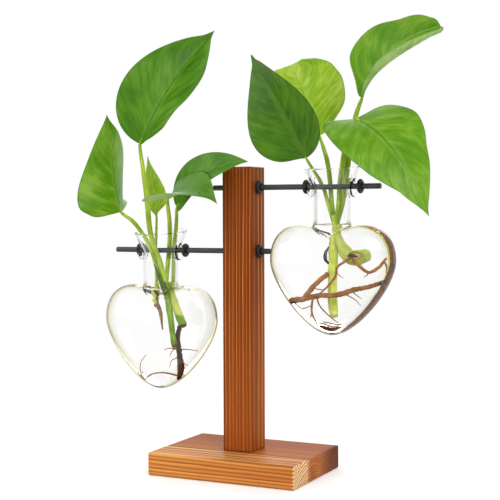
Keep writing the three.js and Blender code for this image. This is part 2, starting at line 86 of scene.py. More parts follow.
NECK_RADIUS = 15.6
NECK_FOOT_DROP = 51
NECK_BLEND = 6
FLARE_START = -5
FLARE_BEND = 8
FLARE_STEPS = 60
FLARE_FOOT = -200
FLARE_BEYOND = 9
MOUTH_TURN = 3
MOUTH_RADIUS = 23.4
MOUTH_HEIGHT = 16
MOUTH_ROOM = 7
MOUTH_CUT_RISE = 0.7
MOUTH_SLANT = 6
RIM_BEAD = 0.45
RIM_BEAD_RISE = 0.4
RIM_BEAD_SPREAD = 0.9
HOLE_DROP = 1.7
LIP_RADIUS = 6.1
LIP_FLARE = 1.9
LIP_FLARE_LENGTH = 2.4
LIP_ROOT = 11
LIP_REACH = 19.4
LIP_CUT_START = 16
LIP_CUT_HEIGHTS = (-11.5, 6.9)
LIP_BLEND = 1.8

# Glass wall, the melt of its rims and the net of its surface

GLASS_WALL = 1.6
RIM_MELT = 0.55
RIM_MELT_ANGLE = 55
GLASS_CELL = 1.2
SKIN_ROUNDS = 6
SKIN_PULL = 0.6

# Water: its level, how far it climbs the wall and how far it reaches into the glass

WATER_DROP = {"right": 33, "left": 36}
WATER_OVERLAP = 0.08
MENISCUS = 1.2
MENISCUS_REACH = 1.1
SURFACE_RINGS = (0.97, 0.93, 0.87, 0.78, 0.6, 0.35)

# Turned and round pieces, and the angles from which their edges stay sharp

TURNED_SIDES = 40
CUT_EDGE_ANGLE = 42
ROD_EDGE_ANGLE = 60
SPLINE_STEPS = 24
CAP_RINGS = (0.35, 0.75)
CAP_DEPTH = 0.5
PATTERN_LENGTH = 10

# Leaf blades: their net, and the depths and widths of what shapes their faces

BLADE_ROWS = 54
BLADE_HALF = 11
ROW_CROWDING = 1.4
COLUMN_CROWDING = 0.92
VEINS = 11
VEIN_SLANT = 0.32
VEIN_RIPPLE = 0.13
RIPPLE_REACH = 1.05
MARGIN_WAVE = 0.8
MARGIN_SWING = 8
SEED_SWING = 2.1
SIDE_SWING = 1.3
BODY_ENDS = (6, 5)
MIDRIB_DEPTH = 0.5
MIDRIB_WIDTH = 1.2
KEEL_DEPTH = 0.75
KEEL_WIDTH = 1.3
KEEL_FADE = 0.7
HALF_THICKNESS = 0.32
MARGIN_THICKNESS = 0.02
LOBE_PLACE = 0.1
TIP_NOTCH_SPREAD = 0.09
IN_BLADE = 0.05

# Leaf stalks: their net, their ribs and how they swell where they meet the blade

STALK_SIDES = 16
STALK_PITCH = 1.2
STALK_RIBS = 7
STALK_RIB_DEPTH = 0.05
STALK_SWELL = 0.25
SWELL_PLACE = 0.93
SWELL_SPREAD = 0.05

# Timber: its net and how far its eased edges waver

TIMBER_CELL = 1.6
EDGE_SOFTNESS = (0, 0.3, 0.62, 1.0)
EDGE_WAVER = 0.22
WAVER_SCALE = 0.35
BASE_EDGE = 1.0
POST_EDGE = 0.9

# Screws, rods and the bores that they leave

SCREW_HEAD = 3.8
SCREW_SHANK = 2
SCREW_FACE = 1.0
SCREW_CONE = (1.4, 3.6)
SCREW_POINT = (41, 45)
SCREW_SLOT = ((-2.3, -0.45, 0.4), (2.3, 0.45, 2.6))
SCREW_GAP = 0.3
BORE_RADIUS = 2.8
BORE_REACH = 20
ROD_END = ((0.9, 0), (0.35, 0.1), (0.08, 0.35), (0, 0.8))
ROD_END_ROOM = 2
ROD_STEPS = 60

# Stems: their net, their ribs, their knots with a scar under each, and what grows on them

STEM_SIDES = 24
STEM_PITCH = 0.7
CUT_END_ROWS = 6
STEM_RIBS = 5
STEM_RIB_DEPTH = 0.06
STEM_TWIST = 9
KNOT_SIZE = 0.45
KNOT_SPREAD = 2.2
SCAR_DEPTH = 0.35
SCAR_PLACE = 1.4
SCAR_SPREAD = 0.5
EXTRA_SIDES = 16
EXTRA_BARK = 0.25

# Bark, and roots: their net, and their hairs in metres

BARK_GIRTH = 1.3
BARK_RUN = 0.55
BARK_SEED = 7.1
BARK_FINE = 2.7
BARK_FINE_SHARE = 0.5
ROOT_PITCH = 0.8
ROOT_SIDES = 10
THICK_ROOT = 1.2
THICK_ROOT_SIDES = 16
ROOT_BARK = 0.26
HAIR_DENSITY = 30000.0
HAIR_LENGTH = 0.0035
HAIR_RADIUS = 0.00009

# Floor, in metres: how far it reaches and how far it lies below the base

FLOOR_HALF = 3
FLOOR_DROP = 0.0004


def middle(node):
    """The middle of a node's box."""
    low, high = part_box(node)
    return (low + high) / 2


def vase_place(side, level):
    """The point on its rod's axis from which a vase and its plants are measured, in millimetres."""
    rod = middle(f"{level}_rod")
    return np.array([middle(f"{side}_vase")[0], rod[1], rod[2]]) / MM


LEVELS = ("upper", "lower")
VASES = {"right": vase_place("right", "upper"), "left": vase_place("left", "lower")}


# Meshes


def linked(name, data):
    """A new object of a mesh, lamp or camera, in the scene."""
    made = bpy.data.objects.new(name, data)
    bpy.context.scene.collection.objects.link(made)
    return made


def mesh_object(name, points, faces, materials, uv=None, slots=None):
    """A smooth object from points in millimetres."""
    mesh = bpy.data.meshes.new(name)
    mesh.from_pydata((np.asarray(points) * MM).tolist(), [], [list(f) for f in faces])
    for material in materials:
        mesh.materials.append(material)
    mesh.shade_smooth()
    if uv is not None:
        layer = mesh.uv_layers.new(name="surface")
        corners = np.zeros(len(mesh.loops), np.int32)
        mesh.loops.foreach_get("vertex_index", corners)
        layer.data.foreach_set("uv", np.asarray(uv, np.float32)[corners].ravel())
        mesh.polygons.foreach_set("material_index", np.asarray(slots, np.int32))
    mesh.update()
    return linked(name, mesh)


def settle(obj):
    """Turns an object's modifiers into its mesh."""
    bpy.context.view_layer.update()
    graph = bpy.context.evaluated_depsgraph_get()
    mesh = bpy.data.meshes.new_from_object(obj.evaluated_get(graph))
    obj.modifiers.clear()
    obj.data = mesh


def stand_in(obj, body, slot, *nodes):
    """A finished piece takes its body and the nodes that it stands for; its finish slot is not used."""
    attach(obj, body)
    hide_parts(*nodes)


def ring_faces(sides, rows):
    """Faces of a closed body: quads between its rings of points, and a fan at each end round one of
    the two points that follow the rings."""
    faces = []
    for row in range(rows - 1):
        for k in range(sides):
            near = row * sides + k
            far = row * sides + (k + 1) % sides
            faces.append((near, far, far + sides, near + sides))
    start = rows * sides
    last = start - sides
    for k in range(sides):
        after = (k + 1) % sides
        faces.append((start, after, k))
        faces.append((start + 1, last + k, last + after))
    return faces


def turned(profile, axis):
    """Points and faces of a profile of (radius, height) pairs, from axis to axis, turned about an axis."""
    points = []
    for radius, height in profile[1:-1]:
        for k in range(TURNED_SIDES):
            angle = 2 * math.pi * k / TURNED_SIDES
            points.append((radius * math.cos(angle), radius * math.sin(angle), height))
    points += [(0, 0, profile[0][1]), (0, 0, profile[-1][1])]
    points = np.array(points)
    if axis == "X":
        points = points[:, [2, 0, 1]]
    return points, ring_faces(TURNED_SIDES, len(profile) - 2)


def bezier(corners, count):
    """Points along a cubic curve from its four corners."""
    p = [np.array(c, float) for c in corners]
    share = np.linspace(0, 1, count)[:, None]
    return ((1 - share) ** 3 * p[0] + 3 * share * (1 - share) ** 2 * p[1]
            + 3 * share ** 2 * (1 - share) * p[2] + share ** 3 * p[3])


def spline(points, count):
    """Points evenly spaced along a centripetal Catmull-Rom curve, as the frame's stalks follow."""
    knots = np.array(points, float)
    knots = np.vstack([2 * knots[0] - knots[1], knots, 2 * knots[-1] - knots[-2]])
    fine = []
    steps = np.linspace(0, 1, SPLINE_STEPS, endpoint=False)[:, None]
    for p0, p1, p2, p3 in zip(knots, knots[1:], knots[2:], knots[3:]):
        d0, d1, d2 = (np.linalg.norm(b - a) ** 0.5 for a, b in ((p0, p1), (p1, p2), (p2, p3)))
        start = ((p1 - p0) / d0 - (p2 - p0) / (d0 + d1) + (p2 - p1) / d1) * d1
        end = ((p2 - p1) / d1 - (p3 - p1) / (d1 + d2) + (p3 - p2) / d2) * d1
        square, cube = steps ** 2, steps ** 3
        fine.append(p1 + start * steps + (-3 * p1 + 3 * p2 - 2 * start - end) * square
                    + (2 * p1 - 2 * p2 + start + end) * cube)
    fine = np.vstack(fine + [knots[-2][None]])
    travel = np.concatenate([[0], np.cumsum(np.linalg.norm(np.diff(fine, axis=0), axis=1))])
    wanted = np.linspace(0, travel[-1], count)
    return np.stack([np.interp(wanted, travel, fine[:, i]) for i in range(3)], 1), travel[-1]


def tube(points, radii, sides, pitch, relief):
    """A round tube along a curve, its radius blended along radii, with rounded ends. relief gives
    extra radius for a share of the length, an angle and the length in millimetres."""
    length = spline(points, 8)[1]
    count = max(8, int(length / pitch))
    centres, length = spline(points, count)
    ahead = np.gradient(centres, axis=0)
    ahead /= np.linalg.norm(ahead, axis=1)[:, None]
    side = np.cross(ahead[0], (0.31, 0.87, 0.19))
    beside = []
    for along in ahead:
        side = side - along * np.dot(side, along)
        side /= np.linalg.norm(side)
        beside.append(side.copy())
    share = np.linspace(0, 1, count)
    radius = np.interp(share, np.linspace(0, 1, len(radii)), radii)
    rings, uv = [], []

    def add_ring(i, scale, shift):
        for k in range(sides):
            angle = 2 * math.pi * k / sides
            spoke = beside[i] * math.cos(angle) + np.cross(ahead[i], beside[i]) * math.sin(angle)
            reach = (radius[i] + relief(share[i], angle, length)) * scale
            rings.append(centres[i] + ahead[i] * shift + spoke * reach)
            uv.append((k / sides, share[i] * length / PATTERN_LENGTH))

    for part in CAP_RINGS:
        add_ring(0, part, -CAP_DEPTH * radius[0] * math.sqrt(1 - part ** 2))
    for i in range(count):
        add_ring(i, 1, 0)
    for part in reversed(CAP_RINGS):
        add_ring(count - 1, part, CAP_DEPTH * radius[-1] * math.sqrt(1 - part ** 2))
    rings.append(centres[0] - ahead[0] * CAP_DEPTH * radius[0])
    rings.append(centres[-1] + ahead[-1] * CAP_DEPTH * radius[-1])
    uv += [(0.5, 0), (0.5, length / PATTERN_LENGTH)]
    return np.array(rings), ring_faces(sides, count + 2 * len(CAP_RINGS)), np.array(uv)


def pile(parts):
    """Joins (points, faces, uv, slot) parts into one set of arrays."""
    points, faces, uvs, slots, first = [], [], [], [], 0
    for part_points, part_faces, part_uv, slot in parts:
        points.append(part_points)
        uvs.append(part_uv)
        faces += [tuple(first + i for i in face) for face in part_faces]
        slots += [slot] * len(part_faces)
        first += len(part_points)
    return np.vstack(points), faces, np.vstack(uvs), slots


# Blown glass


def heart_edge():
    """How far the heart's outline lies from its middle, for directions all the way round."""
    side = HEART_HALF_WIDTH - LOBE_SPREAD
    lobe = WIDEST_DROP - LOBE_DROP
    lower = HEART_DROP - WIDEST_DROP
    top = (LOBE_SPREAD, -LOBE_DROP)
    widest = (HEART_HALF_WIDTH, -WIDEST_DROP)
    places = np.vstack([bezier(corners, OUTLINE_STEPS) for corners in (
        ((0, -NOTCH_DROP), (NOTCH_LEANS[0] * LOBE_SPREAD, -NOTCH_DROP),
         (NOTCH_LEANS[1] * LOBE_SPREAD, -LOBE_DROP), top),
        (top, (LOBE_SPREAD + LOBE_LEANS[0] * side, -LOBE_DROP),
         (HEART_HALF_WIDTH, -WIDEST_DROP + LOBE_LEANS[1] * lobe), widest),
        (widest, (HEART_HALF_WIDTH, -WIDEST_DROP - WIDEST_LEAN * lower),
         (TIP_ROUNDNESS, -HEART_DROP), (0, -HEART_DROP)))])
    turn = np.arctan2(places[:, 0], places[:, 1] + MIDDLE_DROP)
    reach = np.hypot(places[:, 0], places[:, 1] + MIDDLE_DROP)
    order = np.argsort(turn)
    return turn[order], reach[order]


EDGE_TURN, EDGE_REACH = heart_edge()


def heart_field(p):
    """Below zero inside the heart, near its distance in millimetres."""
    drop = p[:, 2] + MIDDLE_DROP
    turn = np.abs(np.arctan2(p[:, 0], drop))
    edge = np.interp(turn, EDGE_TURN, EDGE_REACH)
    share = (np.hypot(p[:, 0], drop) / edge) ** HEART_FULLNESS
    bulge = np.abs(2 * p[:, 1] / HEART_DEPTH) ** HEART_FULLNESS
    return (HEART_DEPTH / 2) * ((share + bulge) ** (1 / HEART_FULLNESS) - 1)


def crease(p):
    """The fold that runs down in a V from both sides of the neck, where the two lobes meet."""
    start, end = CREASE_DROP
    share = np.clip(1 - np.abs(p[:, 0]) / CREASE_SPREAD, 0, 1)
    across = np.abs(p[:, 2] + start + (end - start) * share) * CREASE_SPREAD
    away = across / math.hypot(CREASE_SPREAD, end - start)
    beyond = np.maximum(np.abs(p[:, 0]) - CREASE_SPREAD, 0)
    return CREASE_DEPTH * np.exp(-(away / CREASE_WIDTH) ** 2 - (beyond / CREASE_FADE) ** 2)


def flare_line():
    """The neck's radius for heights from far below its foot to beyond the mouth."""
    bend = np.array((MOUTH_RADIUS - MOUTH_TURN, FLARE_START + FLARE_BEND), float)
    mouth = np.array((MOUTH_RADIUS, MOUTH_HEIGHT), float)
    line = bezier(((NECK_RADIUS, FLARE_START), (NECK_RADIUS, FLARE_START + FLARE_BEND), bend, mouth),
                  FLARE_STEPS)
    beyond = mouth + (mouth - bend) / (mouth[1] - bend[1]) * FLARE_BEYOND
    return np.vstack([[NECK_RADIUS, FLARE_FOOT], line, beyond])


FLARE = flare_line()
SLANT_RISE = math.tan(math.radians(MOUTH_SLANT))


def neck_field(p):
    """Below zero inside the neck and its flared mouth, with the bead at its slanted rim."""
    radius = np.interp(p[:, 2], FLARE[:, 1], FLARE[:, 0])
    rim = MOUTH_HEIGHT + RIM_BEAD_RISE + p[:, 1] * SLANT_RISE
    bead = RIM_BEAD * np.exp(-((p[:, 2] - rim) / RIM_BEAD_SPREAD) ** 2)
    wall = np.hypot(p[:, 0], p[:, 1]) - radius - bead
    return np.maximum(wall, -NECK_FOOT_DROP - p[:, 2])


def lip_field(p):
    """Below zero inside the two short spouts that the rod runs through."""
    out = np.abs(p[:, 0])
    flare = LIP_FLARE * np.clip((out - LIP_REACH + LIP_FLARE_LENGTH) / LIP_FLARE_LENGTH, 0, 1) ** 2
    wall = np.hypot(p[:, 1], p[:, 2] + HOLE_DROP) - LIP_RADIUS - flare
    return np.maximum(wall, LIP_ROOT - out)


def blended(a, b, reach):
    """The union of two fields with a fillet."""
    near = np.maximum(reach - np.abs(a - b), 0) / reach
    return np.minimum(a, b) - near ** 2 * reach / 4


def vase_field(p):
    """Below zero inside the whole vase, taken as solid."""
    neck = blended(heart_field(p), neck_field(p), NECK_BLEND) + crease(p)
    return blended(neck, lip_field(p), LIP_BLEND)


def slope(field, p, step=0.05):
    """How steeply a field rises along each axis."""
    parts = []
    for axis in range(3):
        shift = np.zeros(3)
        shift[axis] = step
        parts.append((field(p + shift) - field(p - shift)) / (2 * step))
    return np.stack(parts, 1)


def skin(field, low, high, cell):
    """Points and quads of the surface where a field is zero: one point in each cell that it
    crosses, then drawn onto the surface and spread evenly over it."""
    axes = [np.arange(low[i], high[i] + cell, cell) for i in range(3)]
    grid = np.stack(np.meshgrid(*axes, indexing="ij"), -1)
    size = grid.shape[:3]
    value = field(grid.reshape(-1, 3)).reshape(size)
    cells = tuple(n - 1 for n in size)
    total = np.zeros(cells + (3,))
    count = np.zeros(cells)
    corner = [(i, j, k) for i in (0, 1) for j in (0, 1) for k in (0, 1)]

    def at(offset):
        return value[tuple(slice(o, o + n) for o, n in zip(offset, cells))]

    for a in corner:
        for axis in range(3):
            if a[axis]:
                continue
            b = tuple(v + (i == axis) for i, v in enumerate(a))
            va, vb = at(a), at(b)
            crossing = (va < 0) != (vb < 0)
            share = np.where(crossing, va / np.where(crossing, va - vb, 1), 0)
            for i in range(3):
                total[..., i] += np.where(crossing, a[i] + share * (b[i] - a[i]), 0)
            count += crossing
    active = count > 0
    number = np.full(cells, -1)
    number[active] = np.arange(active.sum())
    where = np.argwhere(active)
    points = (where + total[active] / count[active][:, None]) * cell + np.array(low, float)
    faces = []
    inside = value < 0
    for axis in range(3):
        u, v = (axis + 1) % 3, (axis + 2) % 3
        start = [slice(1, n - 1) for n in size]
        start[axis] = slice(0, size[axis] - 1)
        end = list(start)
        end[axis] = slice(1, size[axis])
        here, there = inside[tuple(start)], inside[tuple(end)]
        for leaving in (True, False):
            found = np.argwhere((here != there) & (here == leaving))
            base = found.copy()
            base[:, [u, v]] += 1
            ring = []
            for du, dv in ((0, 0), (-1, 0), (-1, -1), (0, -1)):
                at_cell = base.copy()
                at_cell[:, u] += du
                at_cell[:, v] += dv
                ring.append(number[tuple(at_cell.T)])
            faces.append(np.stack(ring if leaving else ring[::-1], 1))
    faces = np.vstack(faces)
    links = np.vstack([faces[:, [0, 1]], faces[:, [1, 2]], faces[:, [2, 3]], faces[:, [3, 0]]])
    degree = np.bincount(links.ravel(), minlength=len(points))[:, None]
    for turn in range(SKIN_ROUNDS):
        normal = slope(field, points)
        steep = (normal ** 2).sum(1)[:, None]
        points -= normal * (field(points)[:, None] / steep)
        if turn == SKIN_ROUNDS - 1:
            break
        around = np.zeros_like(points)
        np.add.at(around, links[:, 0], points[links[:, 1]])
        np.add.at(around, links[:, 1], points[links[:, 0]])
        pull = around / degree - points
        points += SKIN_PULL * (pull - normal * ((pull * normal).sum(1)[:, None] / steep))
    return points, faces


def cut(mesh, place, outward, reach=None):
    """Cuts off what lies beyond a plane, among the faces that reach picks."""
    picked = [f for f in mesh.faces if reach is None or reach(f.calc_center_median())]
    parts = {e for f in picked for e in f.edges}
    points = {v for f in picked for v in f.verts}
    bmesh.ops.bisect_plane(mesh, geom=[*points, *parts, *picked], dist=1e-4,
                           plane_co=place, plane_no=outward)
    ahead = Vector(outward)
    beyond = [f for f in mesh.faces
              if (f.calc_center_median() - Vector(place)).dot(ahead) > 0
              and (reach is None or reach(f.calc_center_median()))]
    bmesh.ops.delete(mesh, geom=beyond, context="FACES")
    bmesh.ops.delete(mesh, geom=[v for v in mesh.verts if not v.link_faces], context="VERTS")


def vase_skin():
    """The outside of a vase, closed over its mouth and lips, in its own frame in millimetres."""
    half = HEART_HALF_WIDTH + 2 * GLASS_CELL
    depth = MOUTH_RADIUS + 4 * GLASS_CELL
    low = (-half, -depth, -HEART_DROP - 2 * GLASS_CELL)
    high = (half, depth, MOUTH_HEIGHT + MOUTH_ROOM)
    return skin(vase_field, low, high, GLASS_CELL)


def near_lip(p):
    """Whether a place lies on a lip, beyond its root."""
    low, high = LIP_CUT_HEIGHTS
    return abs(p.x) > LIP_CUT_START and low < p.z < high


def loose_mesh(points, faces):
    """A mesh that can be cut, from points and faces."""
    mesh = bmesh.new()
    corners = [mesh.verts.new(p) for p in points]
    for face in faces:
        mesh.faces.new([corners[i] for i in face])
    return mesh


def placed(name, mesh, place, material):
    """An object of a loose mesh, moved to its place; all in millimetres."""
    data = bpy.data.meshes.new(name)
    mesh.to_mesh(data)
    mesh.free()
    data.transform(Matrix.Translation(Vector(place)))
    data.transform(Matrix.Scale(MM, 4))
    data.materials.append(material)
    return linked(name, data)


def glass_shell(name, skin_points, skin_faces, place, material):
    """The blown wall: the outside cut open at the mouth and the lips, given its thickness
    inwards, with its rims melted round."""
    mesh = loose_mesh(skin_points, skin_faces)
    cut(mesh, (0, 0, MOUTH_HEIGHT + MOUTH_CUT_RISE), (0, -SLANT_RISE, 1), lambda p: p.z > 0)
    for side in (-1, 1):
        cut(mesh, (side * LIP_REACH, 0, 0), (side, 0, 0),
            lambda p, side=side: near_lip(p) and p.x * side > 0)
    shell = placed(name, mesh, place, material)
    wall = shell.modifiers.new("wall", "SOLIDIFY")
    wall.thickness = GLASS_WALL * MM
    wall.offset = -1
    wall.use_even_offset = False
    melt = shell.modifiers.new("melted rims", "BEVEL")
    melt.limit_method = "ANGLE"
    melt.angle_limit = math.radians(RIM_MELT_ANGLE)
    melt.width = RIM_MELT * MM
    melt.segments = 3
    settle(shell)
    shell.data.shade_smooth()
    return shell


def water_body(name, skin_points, skin_faces, place, level, material):
    """Water up to its level: the inside of the wall, reaching a little into the glass so that no
    film of air is seen, and a surface that climbs the wall at its edge."""
    normal = slope(vase_field, skin_points)
    normal /= np.linalg.norm(normal, axis=1)[:, None]
    mesh = loose_mesh(skin_points - normal * (GLASS_WALL - WATER_OVERLAP), skin_faces)
    cut(mesh, (0, 0, MENISCUS - level), (0, 0, 1))
    edges = [e for e in mesh.edges if e.is_boundary]
    rim = sorted({v for e in edges for v in e.verts},
                 key=lambda v: (math.atan2(v.co.y, v.co.x), -v.co.length))
    before = rim
    for share in SURFACE_RINGS:
        ring = []
        for v in rim:
            fall = MENISCUS * (1 - math.exp(-(1 - share) * NECK_RADIUS / MENISCUS_REACH))
            ring.append(mesh.verts.new((v.co.x * share, v.co.y * share, v.co.z - fall)))
        for k in range(len(rim)):
            after = (k + 1) % len(rim)
            mesh.faces.new((before[k], before[after], ring[after], ring[k]))
        before = ring
    centre = mesh.verts.new((0, 0, -level))
    for k in range(len(rim)):
        mesh.faces.new((before[k], before[(k + 1) % len(rim)], centre))
    bmesh.ops.recalc_face_normals(mesh, faces=mesh.faces)
    body = placed(name, mesh, place, material)
    body.data.shade_smooth()
    return body


# Leaves


class Midrib:
    """The directions that travel along a leaf: ahead, across the blade and up from its face."""

    def __init__(self, heading, rise, roll):
        heading, rise, roll = (math.radians(a) for a in (heading, rise, roll))
        self.along = np.array([math.cos(rise) * math.cos(heading),
                               math.cos(rise) * math.sin(heading), math.sin(rise)])
        self.across = np.array([math.sin(heading), -math.cos(heading), 0.0])
        self.across = spun(self.across, self.along, roll)
        self.up = np.cross(self.across, self.along)

    def turn(self, leaf, share):
        """Turns on by a share of the leaf's droop, sweep and twist."""
        bend, sweep, twist = (math.radians(leaf[k]) * share for k in ("droop", "sweep", "twist"))
        self.along = spun(self.along, self.across, -bend)
        self.up = spun(self.up, self.across, -bend)
        self.along = spun(self.along, self.up, sweep)
        self.across = spun(self.across, self.up, sweep)
        self.across = spun(self.across, self.along, twist)
        self.up = spun(self.up, self.along, twist)


def spun(v, axis, angle):
    """A vector turned about an axis."""
    return (v * math.cos(angle) + np.cross(axis, v) * math.sin(angle)
            + axis * np.dot(axis, v) * (1 - math.cos(angle)))


def blade_width(t, peak, point):
    """The blade's width at share t of its length, as a share of its widest, which is at peak."""
    rise = point * peak / (1 - peak)
    return t ** rise * (1 - t) ** point / (peak ** rise * (1 - peak) ** point)


def cross_section(leaf, t, width, sides):
    """Places across a blade at share t of its length for each s from -1 to 1, each as (out, up) and
    the same for the way that the face looks there: the halves fold at the midrib, and a margin may
    roll over towards the upper face."""
    way, start, angle = leaf.get("over", (1, 1, 0))
    places = {}
    for side in (-1, 1):
        fold = math.radians(leaf["fold"][0 if side < 0 else 1])
        grown = 1 + sum(amount * math.exp(-((t - centre) / spread) ** 2)
                        for edge, centre, spread, amount in leaf.get("edge", ()) if edge in (side, 0))
        out = up = before = 0.0
        for s in sorted(abs(s) for s in sides if s * side > 0):
            middle_place = (s + before) / 2
            bend = fold
            if way == side and middle_place > start:
                bend += math.radians(angle) * (middle_place - start) / (1 - start)
            out += (s - before) * width * grown * math.cos(bend)
            up += (s - before) * width * grown * math.sin(bend)
            before = s
            skew = 1 + leaf["skew"] * side * s
            places[side * s] = (side * out * skew, up * skew, -side * math.sin(bend), math.cos(bend))
    places[0.0] = (0.0, 0.0, 0.0, 1.0)
    return places


def blade(leaf):
    """A leaf blade as a thin closed body: points, faces, uv along (v) and across (u), and slots: 0 for
    the upper face, 2 for the underside."""
    midrib = Midrib(leaf["heading"], leaf["rise"], leaf["roll"])
    centre = np.array(leaf["base"], float)
    place = (np.arange(BLADE_ROWS + 1) / BLADE_ROWS) ** ROW_CROWDING
    margin = math.sin(math.pi / 2 * COLUMN_CROWDING)
    sides = [math.sin(math.pi / 2 * j / BLADE_HALF * COLUMN_CROWDING) / margin
             for j in range(-BLADE_HALF, BLADE_HALF + 1)]
    top, under = [], []
    points, uv = [centre.copy()], [(0.5, 0)]
    for i in range(1, BLADE_ROWS + 1):
        stretch = place[i] - place[i - 1]
        midrib.turn(leaf, stretch / 2)
        centre = centre + midrib.along * (leaf["length"] * stretch)
        midrib.turn(leaf, stretch / 2)
        if i == BLADE_ROWS:
            break
        t = place[i]
        width = blade_width(t, leaf["peak"], leaf["point"]) * leaf["width"] / 2
        lobe = leaf["lobe"] * leaf["width"] / 2 * (t / LOBE_PLACE) * math.exp(1 - t / LOBE_PLACE)
        notch = leaf.get("notch", 0) * math.exp(-((1 - t) / TIP_NOTCH_SPREAD) ** 2)
        top.append([])
        under.append([])
        body = min(1, BODY_ENDS[0] * t) * min(1, BODY_ENDS[1] * (1 - t))
        section = cross_section(leaf, t, width, sides)
        for s in sides:
            size = abs(s)
            out, rise, face_out, face_up = section[s]
            face = midrib.across * face_out + midrib.up * face_up
            phase = VEINS * (t - VEIN_SLANT * size) * math.tau
            ripple = VEIN_RIPPLE * math.cos(phase) * math.sin(math.pi * min(1, size * RIPPLE_REACH)) * body
            swing = MARGIN_SWING * t + SEED_SWING * leaf["seed"] + (SIDE_SWING if s < 0 else 0)
            sway = MARGIN_WAVE * size ** 1.5 * body * math.sin(swing)
            rib = -MIDRIB_DEPTH * math.exp(-(s * width / MIDRIB_WIDTH) ** 2) * body
            point = (centre + midrib.across * out + midrib.up * (rise + leaf["curl"] * width * s * s)
                     + midrib.along * ((notch - lobe) * s * s))
            lift = ripple + sway + rib
            edge = math.sqrt(max(0, 1 - size ** 6))
            keel = KEEL_DEPTH * math.exp(-(s * width / KEEL_WIDTH) ** 2) * (1 - KEEL_FADE * t)
            thick = HALF_THICKNESS * edge + MARGIN_THICKNESS
            top[-1].append(len(points))
            points.append(point + face * (lift + thick))
            uv.append((0.5 + s / 2, t))
            under[-1].append(len(points))
            points.append(point + face * (lift - thick - keel))
            uv.append((0.5 + s / 2, t))
    tip = len(points)
    points.append(centre)
    uv.append((0.5, 1))
    faces, slots = [], []
    columns = 2 * BLADE_HALF + 1
    for sheet, flip, slot in ((top, 1, 0), (under, -1, 2)):
        for j in range(columns - 1):
            faces.append((0, sheet[0][j + 1], sheet[0][j])[::flip])
            faces.append((tip, sheet[-1][j], sheet[-1][j + 1])[::flip])
            for i in range(len(sheet) - 1):
                faces.append((sheet[i][j], sheet[i][j + 1], sheet[i + 1][j + 1], sheet[i + 1][j])[::flip])
        slots += [slot] * (len(faces) - len(slots))
    for j, way in ((0, 1), (columns - 1, -1)):
        faces.append((0, top[0][j], under[0][j])[::way])
        faces.append((tip, under[-1][j], top[-1][j])[::way])
        for i in range(len(top) - 1):
            faces.append((top[i][j], top[i + 1][j], under[i + 1][j], under[i][j])[::way])
    slots += [0] * (len(faces) - len(slots))
    return np.array(points), faces, np.array(uv), slots


def leaf_object(name, leaf, place):
    """A leaf with its ribbed stalk, which swells where it meets the blade."""
    midrib = Midrib(leaf["heading"], leaf["rise"], leaf["roll"])
    in_blade = np.array(leaf["base"]) + midrib.along * (leaf.get("reach", IN_BLADE) * leaf["length"])
    line = [*leaf["stalk"], leaf["base"], in_blade]

    def groove(share, angle, length):
        ribs = STALK_RIB_DEPTH * math.sin(STALK_RIBS * angle)
        swell = STALK_SWELL * math.exp(-((share - SWELL_PLACE) / SWELL_SPREAD) ** 2)
        return ribs + swell

    blade_points, blade_faces, blade_uv, blade_slots = blade(leaf)
    stalk_points, stalk_faces, stalk_uv = tube(line, leaf["stalk_radii"], STALK_SIDES, STALK_PITCH,
                                                groove)
    points, faces, uv, slots = pile([
        (blade_points, blade_faces, blade_uv, 0), (stalk_points, stalk_faces, stalk_uv, 1)])
    slots[:len(blade_slots)] = blade_slots
    return mesh_object(name, points + place, faces, [leaf["looks"], STALK, UNDER_LEAF], uv, slots)


# Finishes


def tone(red, green, blue):
    """A paint colour from display values of 0 to 255."""
    def straight(value):
        value /= 255
        return value / 12.92 if value <= 0.04045 else ((value + 0.055) / 1.055) ** 2.4
    return (straight(red), straight(green), straight(blue), 1.0)


def feed(tree, socket, value):
    """Gives a node's input a value, or joins it to another node's output."""
    if isinstance(value, bpy.types.NodeSocket):
        tree.links.new(value, socket)
    else:
        socket.default_value = value


